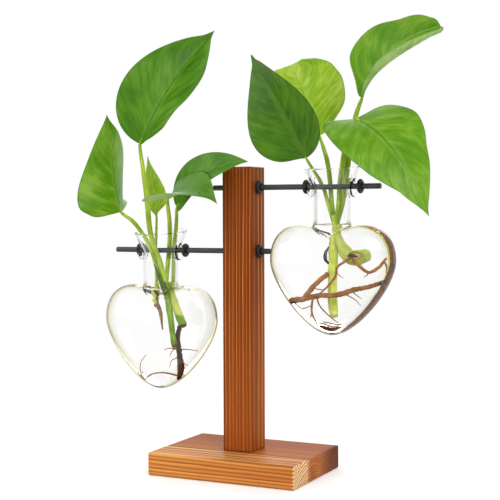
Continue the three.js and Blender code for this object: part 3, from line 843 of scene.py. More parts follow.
class Look:
    """Short ways to add nodes to the looks of a material or the world and join them."""

    def __init__(self, owner):
        owner.use_nodes = True
        self.tree = owner.node_tree

    def set(self, node, **inputs):
        for key, value in inputs.items():
            feed(self.tree, node.inputs[key.replace("_", " ")], value)
        return node

    def add(self, kind, inputs=None, **settings):
        node = self.tree.nodes.new("ShaderNode" + kind)
        for key, value in settings.items():
            setattr(node, key, value)
        return self.set(node, **(inputs or {}))

    def sum(self, operation, *values):
        node = self.add("Math", operation=operation)
        for socket, value in zip(node.inputs, values):
            feed(self.tree, socket, value)
        return node.outputs[0]

    def times(self, a, b, more=None):
        """a times b, and more added to it."""
        return self.sum("MULTIPLY", a, b) if more is None else self.sum("MULTIPLY_ADD", a, b, more)

    def place(self):
        """The place on the object, in metres."""
        return self.add("TexCoord").outputs["Object"]

    def skin_place(self):
        """How far across and how far along the surface a place lies."""
        return self.split(self.add("UVMap", uv_map="surface").outputs[0])[:2]

    def split(self, vector):
        return self.add("SeparateXYZ", {"Vector": vector}).outputs

    def vector(self, x=0.0, y=0.0, z=0.0):
        return self.add("CombineXYZ", {"X": x, "Y": y, "Z": z}).outputs[0]

    def cloud(self, vector, scale, detail, roughness):
        return self.add("TexNoise", {"Vector": vector, "Scale": scale, "Detail": detail,
                                     "Roughness": roughness}).outputs[0]

    def range(self, value, low, high, to_low=0.0, to_high=1.0, smooth=True):
        node = self.add("MapRange", {"Value": value, "From_Min": low, "From_Max": high,
                                     "To_Min": to_low, "To_Max": to_high})
        node.interpolation_type = "SMOOTHSTEP" if smooth else "LINEAR"
        return node.outputs[0]

    def ramp(self, value, *stops):
        node = self.add("ValToRGB", {"Fac": value})
        ramp = node.color_ramp
        while len(ramp.elements) < len(stops):
            ramp.elements.new(0.5)
        for element, (place, colour) in zip(ramp.elements, stops):
            element.position = place
            element.color = colour
        return node.outputs[0]

    def mix(self, share, a, b, blend="MIX"):
        node = self.add("Mix", data_type="RGBA", blend_type=blend)
        for number, value in ((0, share), (6, a), (7, b)):
            feed(self.tree, node.inputs[number], value)
        return node.outputs[2]

    def bump(self, height, depth_mm, strength):
        return self.add("Bump", {"Height": height, "Strength": strength,
                                 "Distance": depth_mm * MM}).outputs[0]


class Finish(Look):
    """A new material."""

    def __init__(self, name):
        self.material = bpy.data.materials.new(name)
        super().__init__(self.material)
        self.shader = self.tree.nodes["Principled BSDF"]
        self.output = self.tree.nodes["Material Output"]

    def done(self, **inputs):
        """The material, with these inputs of its shader."""
        self.set(self.shader, **inputs)
        return self.material

    def between(self, share, first, second):
        """Makes the surface pass from the first shader to the second as share rises."""
        mixed = self.add("MixShader", {"Fac": share})
        self.tree.links.new(first.outputs[0], mixed.inputs[1])
        self.tree.links.new(second.outputs[0], mixed.inputs[2])
        self.tree.links.new(mixed.outputs[0], self.output.inputs[0])

    def clear(self, tint):
        """Lets light pass to what lies behind: shadow rays cross the surface."""
        through = self.add("BsdfTransparent", {"Color": tint})
        self.between(self.add("LightPath").outputs["Is Shadow Ray"], self.shader, through)


def wood(name, grain, pith, spacing, stops, char, fade):
    """Pine with its year rings: grain is the axis that they run along, pith the place of the
    heart of the tree on the other two axes in millimetres, stops the tones from one ring to the
    next. Where fade is high the rings grow faint."""
    look = Finish(name)
    position = look.place()
    axes = look.split(position)

    def drawn_out(share):
        """The place in millimetres, shortened along the grain, so that clouds draw out along it."""
        scale = [1 / MM] * 3
        scale[grain] *= share
        return look.add("Mapping", {"Vector": position, "Scale": scale}).outputs[0]

    slow = drawn_out(0.06)
    fibres = drawn_out(0.03)
    sides = [look.sum("SUBTRACT", look.times(axes[axis], 1 / MM), centre)
             for axis, centre in zip([i for i in range(3) if i != grain], pith)]
    radius = look.sum("SQRT", look.sum("ADD", *(look.times(side, side) for side in sides)))
    radius = look.times(look.cloud(slow, 0.05, 2.0, 0.5), char["bend"], radius)
    radius = look.times(look.cloud(slow, 0.5, 2.0, 0.5), 0.8, radius)
    years = look.sum("DIVIDE", radius, spacing)
    count = look.times(look.sum("FLOOR", years), 1.37)
    growth = look.range(look.cloud(look.vector(x=count), 1.0, 1.0, 0.55), 0.36, 0.64)
    year = look.sum("POWER", look.sum("FRACT", years), look.times(growth, 0.7, 0.7))
    strong = look.cloud(look.vector(y=count), 1.0, 1.0, 0.55)
    rings = look.mix(look.range(strong, 0.38, 0.6, 0.35, 1.0), char["ground"], look.ramp(year, *stops))
    patch = look.range(look.cloud(slow, 0.03, 2.0, 0.5), 0.38, 0.62)
    # Painted light: where char["end"] marks a lit face, the rings take paler tones and show fewer patches.
    if "lit_end_stops" in char:
        end = char["end"](look, axes)
        rings = look.mix(end, rings, look.ramp(year, *char["lit_end_stops"]))
        patch = look.times(patch, look.range(end, 0.3, 1.0, 1.0, 0.1))
    fibre = look.cloud(fibres, 2.6, 4.0, 0.65)
    pore = look.cloud(fibres, 6.5, 2.0, 0.6)
    paint = look.mix(fade(look, axes), rings, char["plain"])
    if "foot" in char:
        paint = look.mix(look.range(axes[2], 0.02, 0.17, 0.3, 0.0), paint, char["foot"])
    paint = look.mix(look.range(fibre, 0.35, 0.7, 0.0, 0.22), paint, char["fibre"])
    paint = look.mix(look.times(patch, char["patch"]), paint, char["warm"], "MULTIPLY")
    paint = look.mix(look.range(pore, 0.58, 0.75, 0.0, 0.3), paint, char["dark"], "MULTIPLY")
    # char["place"] darkens: scorch at the base's far right corner, a painted shadow along the post's foot,
    # and painted shade along the post's left edge and upper left.
    scorch_and_painted_shade = look.times(char["place"](look, axes),
                        look.range(look.cloud(slow, 0.05, 3.0, 0.6), 0.2, 0.8, 0.7, 1.0))
    paint = look.mix(scorch_and_painted_shade, paint, char["dark"], "MULTIPLY")
    height = look.times(fibre, 0.35, look.times(year, 0.3))
    return look.done(Base_Color=paint, Roughness=look.range(fibre, 0.3, 0.7, 0.52, 0.4),
                     Normal=look.bump(height, 0.3, 0.5), Specular_IOR_Level=0.05)


def base_wood():
    """The base: scorched at its far right corner, a painted shadow along the post's foot, painted light on
    its pale front end.
    """
    def scorched(look, axes):
        back = look.range(axes[1], 0.0, 0.046)
        end = look.range(axes[0], 0.062, 0.0715)
        corner = look.times(back, end)
        # Painted shadow: a dark line on the top along the post's foot; the far right corner is scorch.
        away = look.sum("ABSOLUTE", look.sum("ADD", axes[1], 0.0165))
        line = look.range(away, 0.0008, 0.0022, 0.9, 0.0)
        line = look.times(line, look.range(axes[2], 0.0192, 0.0198))
        return look.sum("MAXIMUM", corner, line)

    def smooth_cut(look, axes):
        top = look.range(axes[2], 0.0188, 0.0198, 0.0, 0.9)
        back = look.range(axes[1], -0.0185, -0.0155)
        end = look.range(axes[0], 0.0685, 0.0695, 0.0, 0.72)
        end = look.times(end, look.range(axes[1], -0.024, -0.008))
        return look.sum("MAXIMUM", look.times(top, back), end)

    # Painted light: the right end face and a strip of the top towards the front, where the lamps fall, get
    # paler rings.
    def painted_lit_end(look, axes):
        end = look.range(axes[0], 0.0685, 0.0695)
        top = look.range(axes[2], 0.0188, 0.0198, 0.0, 0.3)
        front = look.range(axes[1], -0.024, -0.012, 1.0, 0.0)
        return look.times(look.sum("MAXIMUM", top, end), front)

    return wood("scorched_pine_base", 0, (-11, -39), 2.7,
                ((0.0, tone(226, 150, 74)), (0.35, tone(248, 182, 102)), (0.55, tone(208, 130, 58)),
                 (0.74, tone(130, 66, 20)), (0.86, tone(166, 92, 36)), (1.0, tone(226, 150, 74))),
                {"warm": tone(208, 150, 112), "dark": tone(104, 60, 38), "place": scorched,
                 "plain": tone(170, 96, 38), "ground": tone(204, 128, 60), "fibre": tone(200, 134, 72),
                 "bend": 7.0, "patch": 0.5, "end": painted_lit_end,
                 # Painted light: paler ring tones for the lit end.
                 "lit_end_stops": ((0.0, tone(255, 214, 156)), (0.36, tone(255, 228, 176)),
                               (0.54, tone(210, 140, 78)), (0.72, tone(132, 68, 26)),
                               (0.86, tone(220, 158, 98)), (1.0, tone(255, 214, 156)))},
                smooth_cut)


def post_wood():
    """The post: painted shade along its left edge and towards its top, where its rings grow faint."""
    # Painted shade: darker along the post's left edge and towards its top on the left.
    def edge(look, axes):
        left = look.range(axes[0], -0.0136, -0.009, 0.45, 0.0)
        top = look.range(axes[2], 0.15, 0.26, 0.0, 0.5)
        near = look.range(axes[0], -0.012, 0.004, 1.0, 0.0)
        return look.sum("MAXIMUM", left, look.times(top, near))

    def plainer(look, axes):
        high = look.range(axes[2], 0.12, 0.24, 0.0, 0.6)
        near = look.range(axes[0], -0.008, 0.004, 1.0, 0.0)
        return look.times(high, near)

    return wood("scorched_pine_post", 2, (-62, -40), 3.2,
                ((0.0, tone(136, 66, 20)), (0.35, tone(112, 48, 10)), (0.6, tone(134, 64, 18)),
                 (0.78, tone(228, 150, 78)), (0.88, tone(190, 110, 48)), (1.0, tone(136, 66, 20))),
                {"warm": tone(214, 168, 130), "dark": tone(120, 70, 40), "place": edge,
                 "plain": tone(126, 60, 18), "ground": tone(138, 68, 22), "fibre": tone(158, 82, 30),
                 "foot": tone(206, 118, 50),
                 "bend": 5.0, "patch": 0.3}, plainer)


def black_paint():
    """Satin paint with a little wear in its gloss."""
    look = Finish("satin_black_paint")
    position = look.place()
    wear = look.cloud(position, 160, 3.0, 0.6)
    paint = look.ramp(wear, (0.3, (0.018, 0.018, 0.020, 1)), (0.7, (0.032, 0.031, 0.034, 1)))
    return look.done(Base_Color=paint, Roughness=look.range(wear, 0.3, 0.7, 0.30, 0.42),
                     Normal=look.bump(look.cloud(position, 1900, 2.0, 0.5), 0.03, 0.5))


def speckled(name, scale, low, high, rough, relief, **more):
    """A finish that varies a little from speck to speck."""
    look = Finish(name)
    speck = look.cloud(look.place(), scale, 3.0, 0.6)
    return look.done(Base_Color=look.ramp(speck, (0.3, low), (0.7, high)),
                     Roughness=look.range(speck, 0.3, 0.7, *rough), Normal=look.bump(speck, *relief), **more)


def clear_glass(name, shoulder):
    """Clear glass with painted shade at its edges: seen along the wall it turns faintly grey in the neck
    and a thin olive brown in the heart below its shoulder, a height in metres."""
    look = Finish(name)
    position = look.place()
    # Painted shade: the colour darkens towards grazing angles, grey in the neck and olive brown in the
    # heart, standing in for dark surroundings seen through the wall.
    facing = look.add("LayerWeight", {"Blend": 0.5}).outputs["Facing"]
    neck = look.ramp(facing, (0.0, (1, 1, 1, 1)), (0.55, (0.98, 0.98, 0.98, 1)), (0.8, tone(206, 207, 204)),
                     (1.0, tone(112, 112, 108)))
    heart = look.ramp(facing, (0.0, (1, 1, 1, 1)), (0.38, (0.985, 0.985, 0.975, 1)),
                      (0.52, tone(232, 227, 192)), (0.64, tone(146, 130, 64)), (0.8, tone(84, 66, 24)),
                      (1.0, tone(58, 44, 16)))
    high = look.range(look.split(position)[2], shoulder - 0.003, shoulder + 0.002)
    body = look.add("VolumeAbsorption", {"Color": (0.72, 0.78, 0.66, 1), "Density": 14.0})
    look.tree.links.new(body.outputs[0], look.output.inputs["Volume"])
    look.clear((0.94, 0.95, 0.94, 1))
    return look.done(Base_Color=look.mix(high, heart, neck), Roughness=0.0, IOR=1.5, Transmission_Weight=1.0,
                     Normal=look.bump(look.cloud(position, 34, 1.0, 0.4), 0.5, 0.2),
                     Specular_Tint=(0.35, 0.35, 0.35, 1))


def still_water():
    """Clear water."""
    look = Finish("still_water")
    look.clear((0.97, 0.98, 0.97, 1))
    return look.done(Base_Color=(1, 1, 1, 1), Roughness=0.0, IOR=1.333, Transmission_Weight=1.0,
                     Specular_Tint=(0.5, 0.5, 0.5, 1))


def leaf_green(name, *tones, gloss=0.36, seed=0.0):
    """A leaf face: soft blotches drawn out along its side veins, a thin midrib line (painted shade in
    its groove where its tone is darker than the blade) and a thin outline, with a satin gloss."""
    dark, plain, light, midrib_line_and_shade, margin = (tone(*values) for values in tones)
    look = Finish(name)
    across, along = look.skin_place()
    offset = look.sum("ABSOLUTE", look.times(across, 2.0, -1.0))
    run = look.times(offset, -VEIN_SLANT, along)
    side = look.sum("GREATER_THAN", across, 0.5)
    position = look.place()
    broad = look.cloud(position, 30, 2.0, 0.5)
    grain = look.cloud(position, 1200, 3.0, 0.6)
    lines = look.vector(look.times(run, 9.0), look.times(offset, 1.3), look.times(side, 5.0, seed))
    blotch = look.cloud(lines, 1.7, 4.0, 0.55)
    hairs = look.vector(look.times(run, 70.0), look.times(offset, 3.0), side)
    streak = look.cloud(hairs, 1.2, 2.0, 0.5)
    nerve = look.sum("SINE", look.times(run, VEINS * math.tau))
    shade = look.times(look.range(blotch, 0.3, 0.72), 0.42, look.times(look.range(broad, 0.3, 0.7), 0.4))
    shade = look.times(look.range(streak, 0.3, 0.7), 0.2, shade)
    shade = look.times(nerve, 0.03, shade)
    paint = look.ramp(shade, (0.12, dark), (0.5, plain), (0.98, light))
    paint = look.mix(look.range(offset, 0.02, 0.16, 0.3, 0.0), paint, light)
    # Painted shade: where the midrib tone is darker than the blade, the midrib line is painted shade in its
    # groove.
    rib = look.times(look.range(offset, 0.008, 0.03, 1.0, 0.0), look.range(along, 0.1, 1.0, 0.9, 0.25))
    paint = look.mix(rib, paint, midrib_line_and_shade)
    paint = look.mix(look.range(offset, 0.965, 0.995, 0.0, 0.75), paint, margin)
    height = look.times(nerve, 0.5, look.times(streak, 0.3))
    height = look.times(grain, 0.12, height)
    return look.done(Base_Color=paint, Roughness=look.range(blotch, 0.3, 0.7, gloss, gloss + 0.1),
                     Normal=look.bump(height, 0.12, 0.4), Specular_IOR_Level=0.2, Subsurface_Weight=0.08,
                     Subsurface_Scale=0.001, Subsurface_Radius=(0.6, 1.0, 0.25))


def stalk_green(name, *tones):
    """A green stem: streaks along it, soft patches and small spots."""
    low, high, mark = (tone(*values) for values in tones)
    look = Finish(name)
    around, along = look.skin_place()
    position = look.place()
    streak = look.cloud(look.vector(look.times(around, 26.0), look.times(along, 0.7)), 1.3, 3.0, 0.6)
    patch = look.cloud(position, 60, 3.0, 0.55)
    shade = look.times(look.range(streak, 0.3, 0.7), 0.5, look.times(look.range(patch, 0.3, 0.7), 0.5))
    spot = look.range(look.cloud(position, 420, 2.0, 0.5), 0.63, 0.72, 0.0, 0.45)
    paint = look.mix(spot, look.ramp(shade, (0.15, low), (0.85, high)), mark)
    return look.done(Base_Color=paint, Roughness=look.range(streak, 0.3, 0.7, 0.36, 0.5),
                     Normal=look.bump(streak, 0.12, 0.5), Specular_IOR_Level=0.2, Subsurface_Weight=0.15,
                     Subsurface_Scale=0.002, Subsurface_Radius=(0.7, 1.0, 0.3))


def root_brown(name, *tones):
    """Root skin or old stem: rough and patchy, from its dark tone through its plain one to its light one."""
    dark, plain, light = (tone(*values) for values in tones)
    look = Finish(name)
    position = look.place()
    patch = look.cloud(position, 130, 4.0, 0.65)
    fine = look.cloud(position, 900, 4.0, 0.65)
    shade = look.times(fine, 0.45, look.times(patch, 0.6))
    paint = look.ramp(shade, (0.32, dark), (0.52, plain), (0.74, light))
    return look.done(Base_Color=paint, Roughness=look.range(fine, 0.3, 0.7, 0.62, 0.72),
                     Normal=look.bump(fine, 0.25, 0.7), Specular_IOR_Level=0.2)


GLASS = {side: clear_glass(f"{side}_blown_glass", (place[2] - SHOULDER_DROP) * MM)
         for side, place in VASES.items()}
WATER = still_water()
BASE_WOOD = base_wood()
POST_WOOD = post_wood()
BLACK = black_paint()
RUBBER = speckled("black_rubber", 2600, (0.010, 0.010, 0.010, 1), (0.024, 0.022, 0.021, 1), (0.42, 0.6),
                  (0.05, 0.6), Specular_IOR_Level=0.28)
STEEL = speckled("zinced_steel", 900, tone(170, 172, 176), tone(205, 206, 208), (0.24, 0.42), (0.03, 0.4),
                 Metallic=1.0)

# Plants. Leaves: dark, plain, light, midrib (painted groove shade where darker than the blade) and
# margin. Stems: low, high and mark. Roots: dark, plain and light

LEAF = leaf_green("leaf_green", (54, 108, 2), (76, 128, 10), (106, 154, 46), (38, 84, 8), (48, 88, 18))
FRESH_LEAF = leaf_green("leaf_fresh", (74, 130, 2), (96, 148, 10), (140, 176, 62), (62, 110, 10),
                        (64, 102, 22), seed=9.0)
DARK_LEAF = leaf_green("leaf_dark", (44, 92, 0), (66, 112, 1), (92, 136, 20), (70, 114, 26), (44, 74, 22),
                       gloss=0.28, seed=3.0)
PALE_LEAF = leaf_green("leaf_pale", (108, 156, 8), (144, 182, 30), (196, 216, 92), (96, 140, 18),
                       (92, 128, 30), seed=6.0)
UNDER_LEAF = leaf_green("leaf_underside", (124, 164, 76), (156, 190, 104), (180, 206, 136), (176, 204, 118),
                        (112, 142, 76), gloss=0.5, seed=12.0)
STALK = stalk_green("leaf_stalk", (118, 158, 8), (190, 212, 72), (98, 118, 32))
STEM = stalk_green("cutting_green", (78, 124, 4), (146, 178, 34), (80, 90, 20))
YOUNG_STEM = stalk_green("cutting_yellow", (168, 190, 22), (240, 242, 116), (124, 120, 30))
PALE_STEM = stalk_green("cutting_pale", (150, 172, 50), (212, 216, 116), (118, 104, 40))
SHEATH = stalk_green("brown_sheath", (44, 60, 4), (84, 116, 14), (70, 36, 14))
ROOT = root_brown("root_skin", (84, 44, 8), (154, 94, 30), (206, 148, 70))
DARK_ROOT = root_brown("dark_root", (24, 11, 3), (60, 32, 9), (108, 64, 24))
OLD_STEM = root_brown("old_stem", (86, 56, 14), (136, 98, 36), (180, 146, 70))
CUT_END = root_brown("cut_end", (52, 28, 10), (88, 54, 22), (128, 84, 40))


# Stand


def timber(name, low, high, radius, material):
    """A sawn block with eased edges that waver a little, as sanding leaves them."""
    low, high = np.array(low, float), np.array(high, float)
    lines = []
    for a, b in zip(low, high):
        soft = np.array(EDGE_SOFTNESS) * radius
        middle_part = np.linspace(a + radius, b - radius, max(2, int((b - a) / TIMBER_CELL)))
        lines.append(np.concatenate([a + soft[:-1], middle_part, b - soft[:-1][::-1]]))
    size = [len(line) for line in lines]
    grid = np.stack(np.meshgrid(*lines, indexing="ij"), -1)
    sheets = []
    outer = np.zeros(size, bool)
    for axis in range(3):
        for end in (0, -1):
            sheet = [slice(None)] * 3
            sheet[axis] = end
            sheets.append(tuple(sheet))
            outer[sheets[-1]] = True
    number = np.full(size, -1)
    number[outer] = np.arange(outer.sum())
    points = grid[outer]
    inner = np.clip(points, low + radius, high - radius)
    away = points - inner
    away /= np.linalg.norm(away, axis=1)[:, None]
    ease = np.zeros(len(points))
    for i in np.flatnonzero((np.abs(away) > 0.05).sum(1) > 1):
        ease[i] = 0.5 + 0.5 * noise.noise(Vector(points[i] * WAVER_SCALE))
    points = inner + away * (radius - EDGE_WAVER * radius * ease)[:, None]
    faces = []
    for sheet, flip in zip(sheets, (True, False, False, True, True, False)):
        net = number[sheet]
        ring = np.stack([net[:-1, :-1], net[1:, :-1], net[1:, 1:], net[:-1, 1:]], -1).reshape(-1, 4)
        faces.append(ring[:, ::-1] if flip else ring)
    return mesh_object(name, points, np.vstack(faces).tolist(), [material])


def bored(obj, cutters):
    """Cuts closed tools out of an object, then drops the tools."""
    for tool in cutters:
        hole = obj.modifiers.new("bore", "BOOLEAN")
        hole.object = tool
        hole.operation = "DIFFERENCE"
        hole.solver = "EXACT"
    settle(obj)
    for tool in cutters:
        bpy.data.objects.remove(tool)
    obj.data.set_sharp_from_angle(angle=math.radians(CUT_EDGE_ANGLE))


def lathe(name, profile, place, axis="Z", materials=()):
    """A piece or a drill, turned from its profile."""
    points, faces = turned(profile, axis)
    return mesh_object(name, points + np.array(place), faces, materials)


def node_size(name):
    """The low and high corners of a node's box, in millimetres."""
    low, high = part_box(name)
    return low / MM, high / MM


def screw_line(extra):
    """A countersunk wood screw that points up, as (radius, height); extra widens it to its hole."""
    start = -SCREW_FACE if extra else SCREW_FACE
    head, shank = SCREW_HEAD + extra, SCREW_SHANK + extra
    return [(0, start), (head, start), (head, SCREW_CONE[0]), (shank, SCREW_CONE[1] + extra),
            (shank, SCREW_POINT[0]), (0, SCREW_POINT[1] + extra)]


def build_stand():
    """The base and the post, bored for the screws and the rods, and the two screws."""
    screws = {node: middle(node)[0] / MM for node in ("base_screw_left", "base_screw_right")}

    def screw_holes():
        return [lathe("drill", screw_line(SCREW_GAP), (x, 0, 0)) for x in screws.values()]

    base = timber("base_board", *node_size("base_block"), BASE_EDGE, BASE_WOOD)
    bored(base, screw_holes())
    stand_in(base, "stand", "base_wood", "base_block")
    post = timber("upright", *node_size("post"), POST_EDGE, POST_WOOD)
    bore = [(0, -BORE_REACH), (BORE_RADIUS, -BORE_REACH), (BORE_RADIUS, BORE_REACH), (0, BORE_REACH)]
    bored(post, screw_holes() + [lathe("drill", bore, (0, 0, middle(f"{level}_rod")[2] / MM), "X")
                                 for level in LEVELS])
    stand_in(post, "stand", "post_wood", "post")
    for node, x in screws.items():
        screw = lathe(node.replace("base_screw", "foot_screw"), screw_line(0), (x, 0, 0), "Z", [STEEL])
        recess = []
        for turn in (0, math.pi / 2):
            slot = mesh_object("slot", *box_points(*SCREW_SLOT), [])
            slot.data.transform(Matrix.Translation((x * MM, 0, 0)) @ Matrix.Rotation(turn, 4, "Z"))
            recess.append(slot)
        bored(screw, recess)
        stand_in(screw, "stand", "screw_steel", node)


def box_points(low, high):
    """The corners and faces of a box."""
    xs, ys, zs = zip(low, high)
    points = [(x, y, z) for x in xs for y in ys for z in zs]
    faces = [(0, 1, 3, 2), (4, 6, 7, 5), (0, 4, 5, 1), (2, 3, 7, 6), (0, 2, 6, 4), (1, 5, 7, 3)]
    return points, faces


# Rods and rings


def build_rod(level):
    """A straight bar with rounded ends."""
    low, high = node_size(f"{level}_rod")
    place = (low + high) / 2
    radius = (high[2] - low[2]) / 2
    near, far = low[0], high[0]
    line = [(0, near)] + [(radius - step, near + along) for step, along in ROD_END]
    line += [(radius, x) for x in np.linspace(near + ROD_END_ROOM, far - ROD_END_ROOM, ROD_STEPS)]
    line += [(radius - step, far - along) for step, along in reversed(ROD_END)] + [(0, far)]
    rod = lathe(f"{level}_bar", line, (0, place[1], place[2]), "X", [BLACK])
    rod.data.set_sharp_from_angle(angle=math.radians(ROD_EDGE_ANGLE))
    stand_in(rod, f"{level}_rod", "black_rod", f"{level}_rod")


class Recipe:
    """A tree of geometry nodes with named inputs, and short ways to add nodes to it and join them."""

    def __init__(self, name, **inputs):
        self.tree = bpy.data.node_groups.new(name, "GeometryNodeTree")
        face = self.tree.interface
        for label, kind in (("Geometry", "Geometry"), *inputs.items()):
            face.new_socket(label.replace("_", " "), in_out="INPUT", socket_type="NodeSocket" + kind)
        face.new_socket("Geometry", in_out="OUTPUT", socket_type="NodeSocketGeometry")
        self.given = self.tree.nodes.new("NodeGroupInput").outputs

    def add(self, kind, **inputs):
        node = self.tree.nodes.new(kind)
        for key, value in inputs.items():
            feed(self.tree, node.inputs[key.replace("_", " ")], value)
        return node

    def sum(self, operation, a, b):
        node = self.add("ShaderNodeMath")
        node.operation = operation
        feed(self.tree, node.inputs[0], a)
        feed(self.tree, node.inputs[1], b)
        return node.outputs[0]

    def done(self, *parts):
        """The tree, which gives these parts together."""
        joined = self.add("GeometryNodeJoinGeometry")
        for part in parts:
            self.tree.links.new(part, joined.inputs[0])
        self.tree.links.new(joined.outputs[0], self.tree.nodes.new("NodeGroupOutput").inputs[0])
        return self.tree


def ring_tree():
    """One rubber ring on a rod: its radius, the radius of its cord and where it sits."""
    nodes = Recipe("rubber_ring", Radius="Float", Cord_Radius="Float", Place="Vector", Rubber="Material")
    given = nodes.given
    hoop = nodes.add("GeometryNodeCurvePrimitiveCircle", Resolution=64, Radius=given["Radius"])
    cord = nodes.add("GeometryNodeCurvePrimitiveCircle", Resolution=24, Radius=given["Cord Radius"])
    body = nodes.add("GeometryNodeCurveToMesh", Curve=hoop.outputs[0], Profile_Curve=cord.outputs[0])
    upright = nodes.add("GeometryNodeTransform", Geometry=body.outputs[0], Translation=given["Place"],
                        Rotation=(0, math.pi / 2, 0))
    smooth = nodes.add("GeometryNodeSetShadeSmooth", Geometry=upright.outputs[0])
    painted = nodes.add("GeometryNodeSetMaterial", Geometry=smooth.outputs[0], Material=given["Rubber"])
    return nodes.done(painted.outputs[0])


def run_tree(obj, tree, values):
    """Runs a geometry-node tree on an object with named inputs and keeps the result as its mesh."""
    modifier = obj.modifiers.new(tree.name, "NODES")
    modifier.node_group = tree
    for item in tree.interface.items_tree:
        if item.item_type == "SOCKET" and item.in_out == "INPUT" and item.name in values:
            modifier[item.identifier] = values[item.name]
    settle(obj)


def build_rings(tree):
    """Round rings on the rods. The solid ring's cord has six sides and stands on a corner, so it is
    narrower along the rod than across."""
    for level in LEVELS:
        for seat in ("post_ring_long_side", "post_ring_stub_side", "vase_ring_inner", "vase_ring_outer"):
            node = f"{level}_{seat}"
            low, high = node_size(node)
            cord = (high[0] - low[0]) / 2 / math.cos(math.pi / 6)
            hoop = (high[2] - low[2]) / 2 - cord
            ring = linked(f"{node}_cord", bpy.data.meshes.new(node))
            centre = (low + high) / 2 * MM
            centre[1:] = middle(f"{level}_rod")[1:]
            run_tree(ring, tree, {"Radius": hoop * MM, "Cord Radius": cord * MM,
                                  "Place": tuple(centre), "Rubber": RUBBER})
            bpy.context.view_layer.update()
            stand_in(ring, node, "rubber", node)


build_stand()
for level in LEVELS:
    build_rod(level)
build_rings(ring_tree())

SKIN_POINTS, SKIN_FACES = vase_skin()
for side, place in VASES.items():
    shell = glass_shell(f"{side}_heart", SKIN_POINTS, SKIN_FACES, place, GLASS[side])
    stand_in(shell, f"{side}_vase", "glass", f"{side}_vase")
    water = water_body(f"{side}_fill", SKIN_POINTS, SKIN_FACES, place, WATER_DROP[side], WATER)
    stand_in(water, f"{side}_vase", "water", f"{side}_water")


# Cuttings, in millimetres from the rod axis at the middle of their vase's neck. Angles in degrees:
# heading and rise aim the midrib, roll turns the blade about it; droop, sweep and twist are turned
# along the whole midrib

LEFT_LEAVES = {
    "large_upper": {
        "base": (-15.2, -9.9, 96.6), "heading": 18, "rise": 67, "roll": 66, "length": 129,
        "width": 81, "droop": 30, "sweep": -10, "twist": 32, "fold": (14, 36), "curl": 0.12,
        "lobe": 0.07, "skew": 0.05, "peak": 0.34, "point": 1.32,
        "stalk": [(6.4, -3.4, -29), (2.4, -5.6, -10), (-2.2, -5.9, 1), (-7, -6.6, 17), (-10, -7, 47),
                  (-13, -9, 76)],
        "stalk_radii": [2, 2.3, 2.4, 2.4, 2.3, 1.9, 0.7], "looks": LEAF, "slot": "leaf", "seed": 3,
        "edge": ((1, 0.05, 0.035, -0.2), (1, 0.17, 0.05, 0.12), (1, 0.31, 0.06, -0.06),
                 (1, 0.62, 0.1, 0.04), (1, 0.93, 0.05, -0.15), (-1, 0.92, 0.05, -0.2)),
    },
    "outer_left": {
        "base": (-36.7, -9, 34.7), "heading": 229, "rise": 77, "roll": -46, "length": 94,
        "width": 79, "droop": -27, "sweep": 14, "twist": -47, "fold": (-6, -16), "curl": -0.32,
        "lobe": 0.01, "skew": 0.05, "peak": 0.15, "point": 1.27,
        "stalk": [(4, -2, -31), (-2.2, -4.4, -14), (-6.6, -5.6, 0), (-15.4, -3.6, 12.5),
                  (-26, -5.4, 26)],
        "stalk_radii": [1.6, 1.8, 1.9, 1.9, 1.9, 0.7], "looks": FRESH_LEAF, "slot": "leaf", "seed": 7,
        "edge": ((-1, 0.55, 0.2, -0.05), (1, 0.93, 0.04, -0.12), (1, 0.78, 0.06, 0.06),
                 (1, 0.03, 0.04, 0.8), (-1, 0.05, 0.05, -0.12)),
    },
    "young_spear": {
        "base": (-9.6, 9.4, 30), "heading": 211, "rise": 82, "roll": -54, "length": 57.5,
        "width": 24.5, "droop": 4, "sweep": -3, "twist": -4, "fold": (24, 20), "curl": 0.01,
        "lobe": -0.04, "skew": 0.01, "peak": 0.29, "point": 1.5,
        "stalk": [(-8, 5.8, -31), (-8.8, 6.6, -10), (-9.2, 6.6, 1), (-8.8, 7.4, 17)],
        "stalk_radii": [1.4, 1.5, 1.5, 1.4, 1.2, 0.6], "looks": PALE_LEAF, "slot": "pale_leaf", "seed": 2,
        "edge": ((1, 0.03, 0.1, -0.76), (-1, 0.02, 0.06, -0.56), (-1, 0.85, 0.12, 0.35)),
    },
    "back_right": {
        "base": (19.1, -2.8, 38.7), "heading": -28.5, "rise": 47, "roll": 75.5, "length": 106,
        "width": 40, "droop": 28, "sweep": -43, "twist": -5.5, "fold": (18, 13), "curl": 0.04,
        "lobe": 0.06, "skew": -0.02, "peak": 0.31, "point": 1.2,
        "stalk": [(10.4, 4.7, -29), (10.7, 5.2, -8), (10.8, 5.4, 2), (13.4, 4.6, 16), (16.4, 0.8, 28)],
        "stalk_radii": [1.8, 1.8, 1.8, 1.8, 1.8, 1.6, 0.6], "looks": LEAF, "slot": "leaf", "seed": 5,
    },
    "front_right": {
        "base": (27.2, -33, 46.4), "heading": -16, "rise": 27, "roll": 16, "length": 69,
        "width": 56.5, "droop": 55, "sweep": -32, "twist": 16, "fold": (15, 11), "curl": 0.1,
        "lobe": 0.44, "skew": -0.05, "peak": 0.19, "point": 1.42,
        "stalk": [(4.2, 2.8, -29.5), (4.6, 4.8, -14), (6, 5.3, 0), (9.6, 0.4, 14), (17, -13, 27)],
        "stalk_radii": [2, 2.1, 2.1, 2.1, 2, 1.8, 0.6], "looks": LEAF, "slot": "leaf", "seed": 6,
    },
}

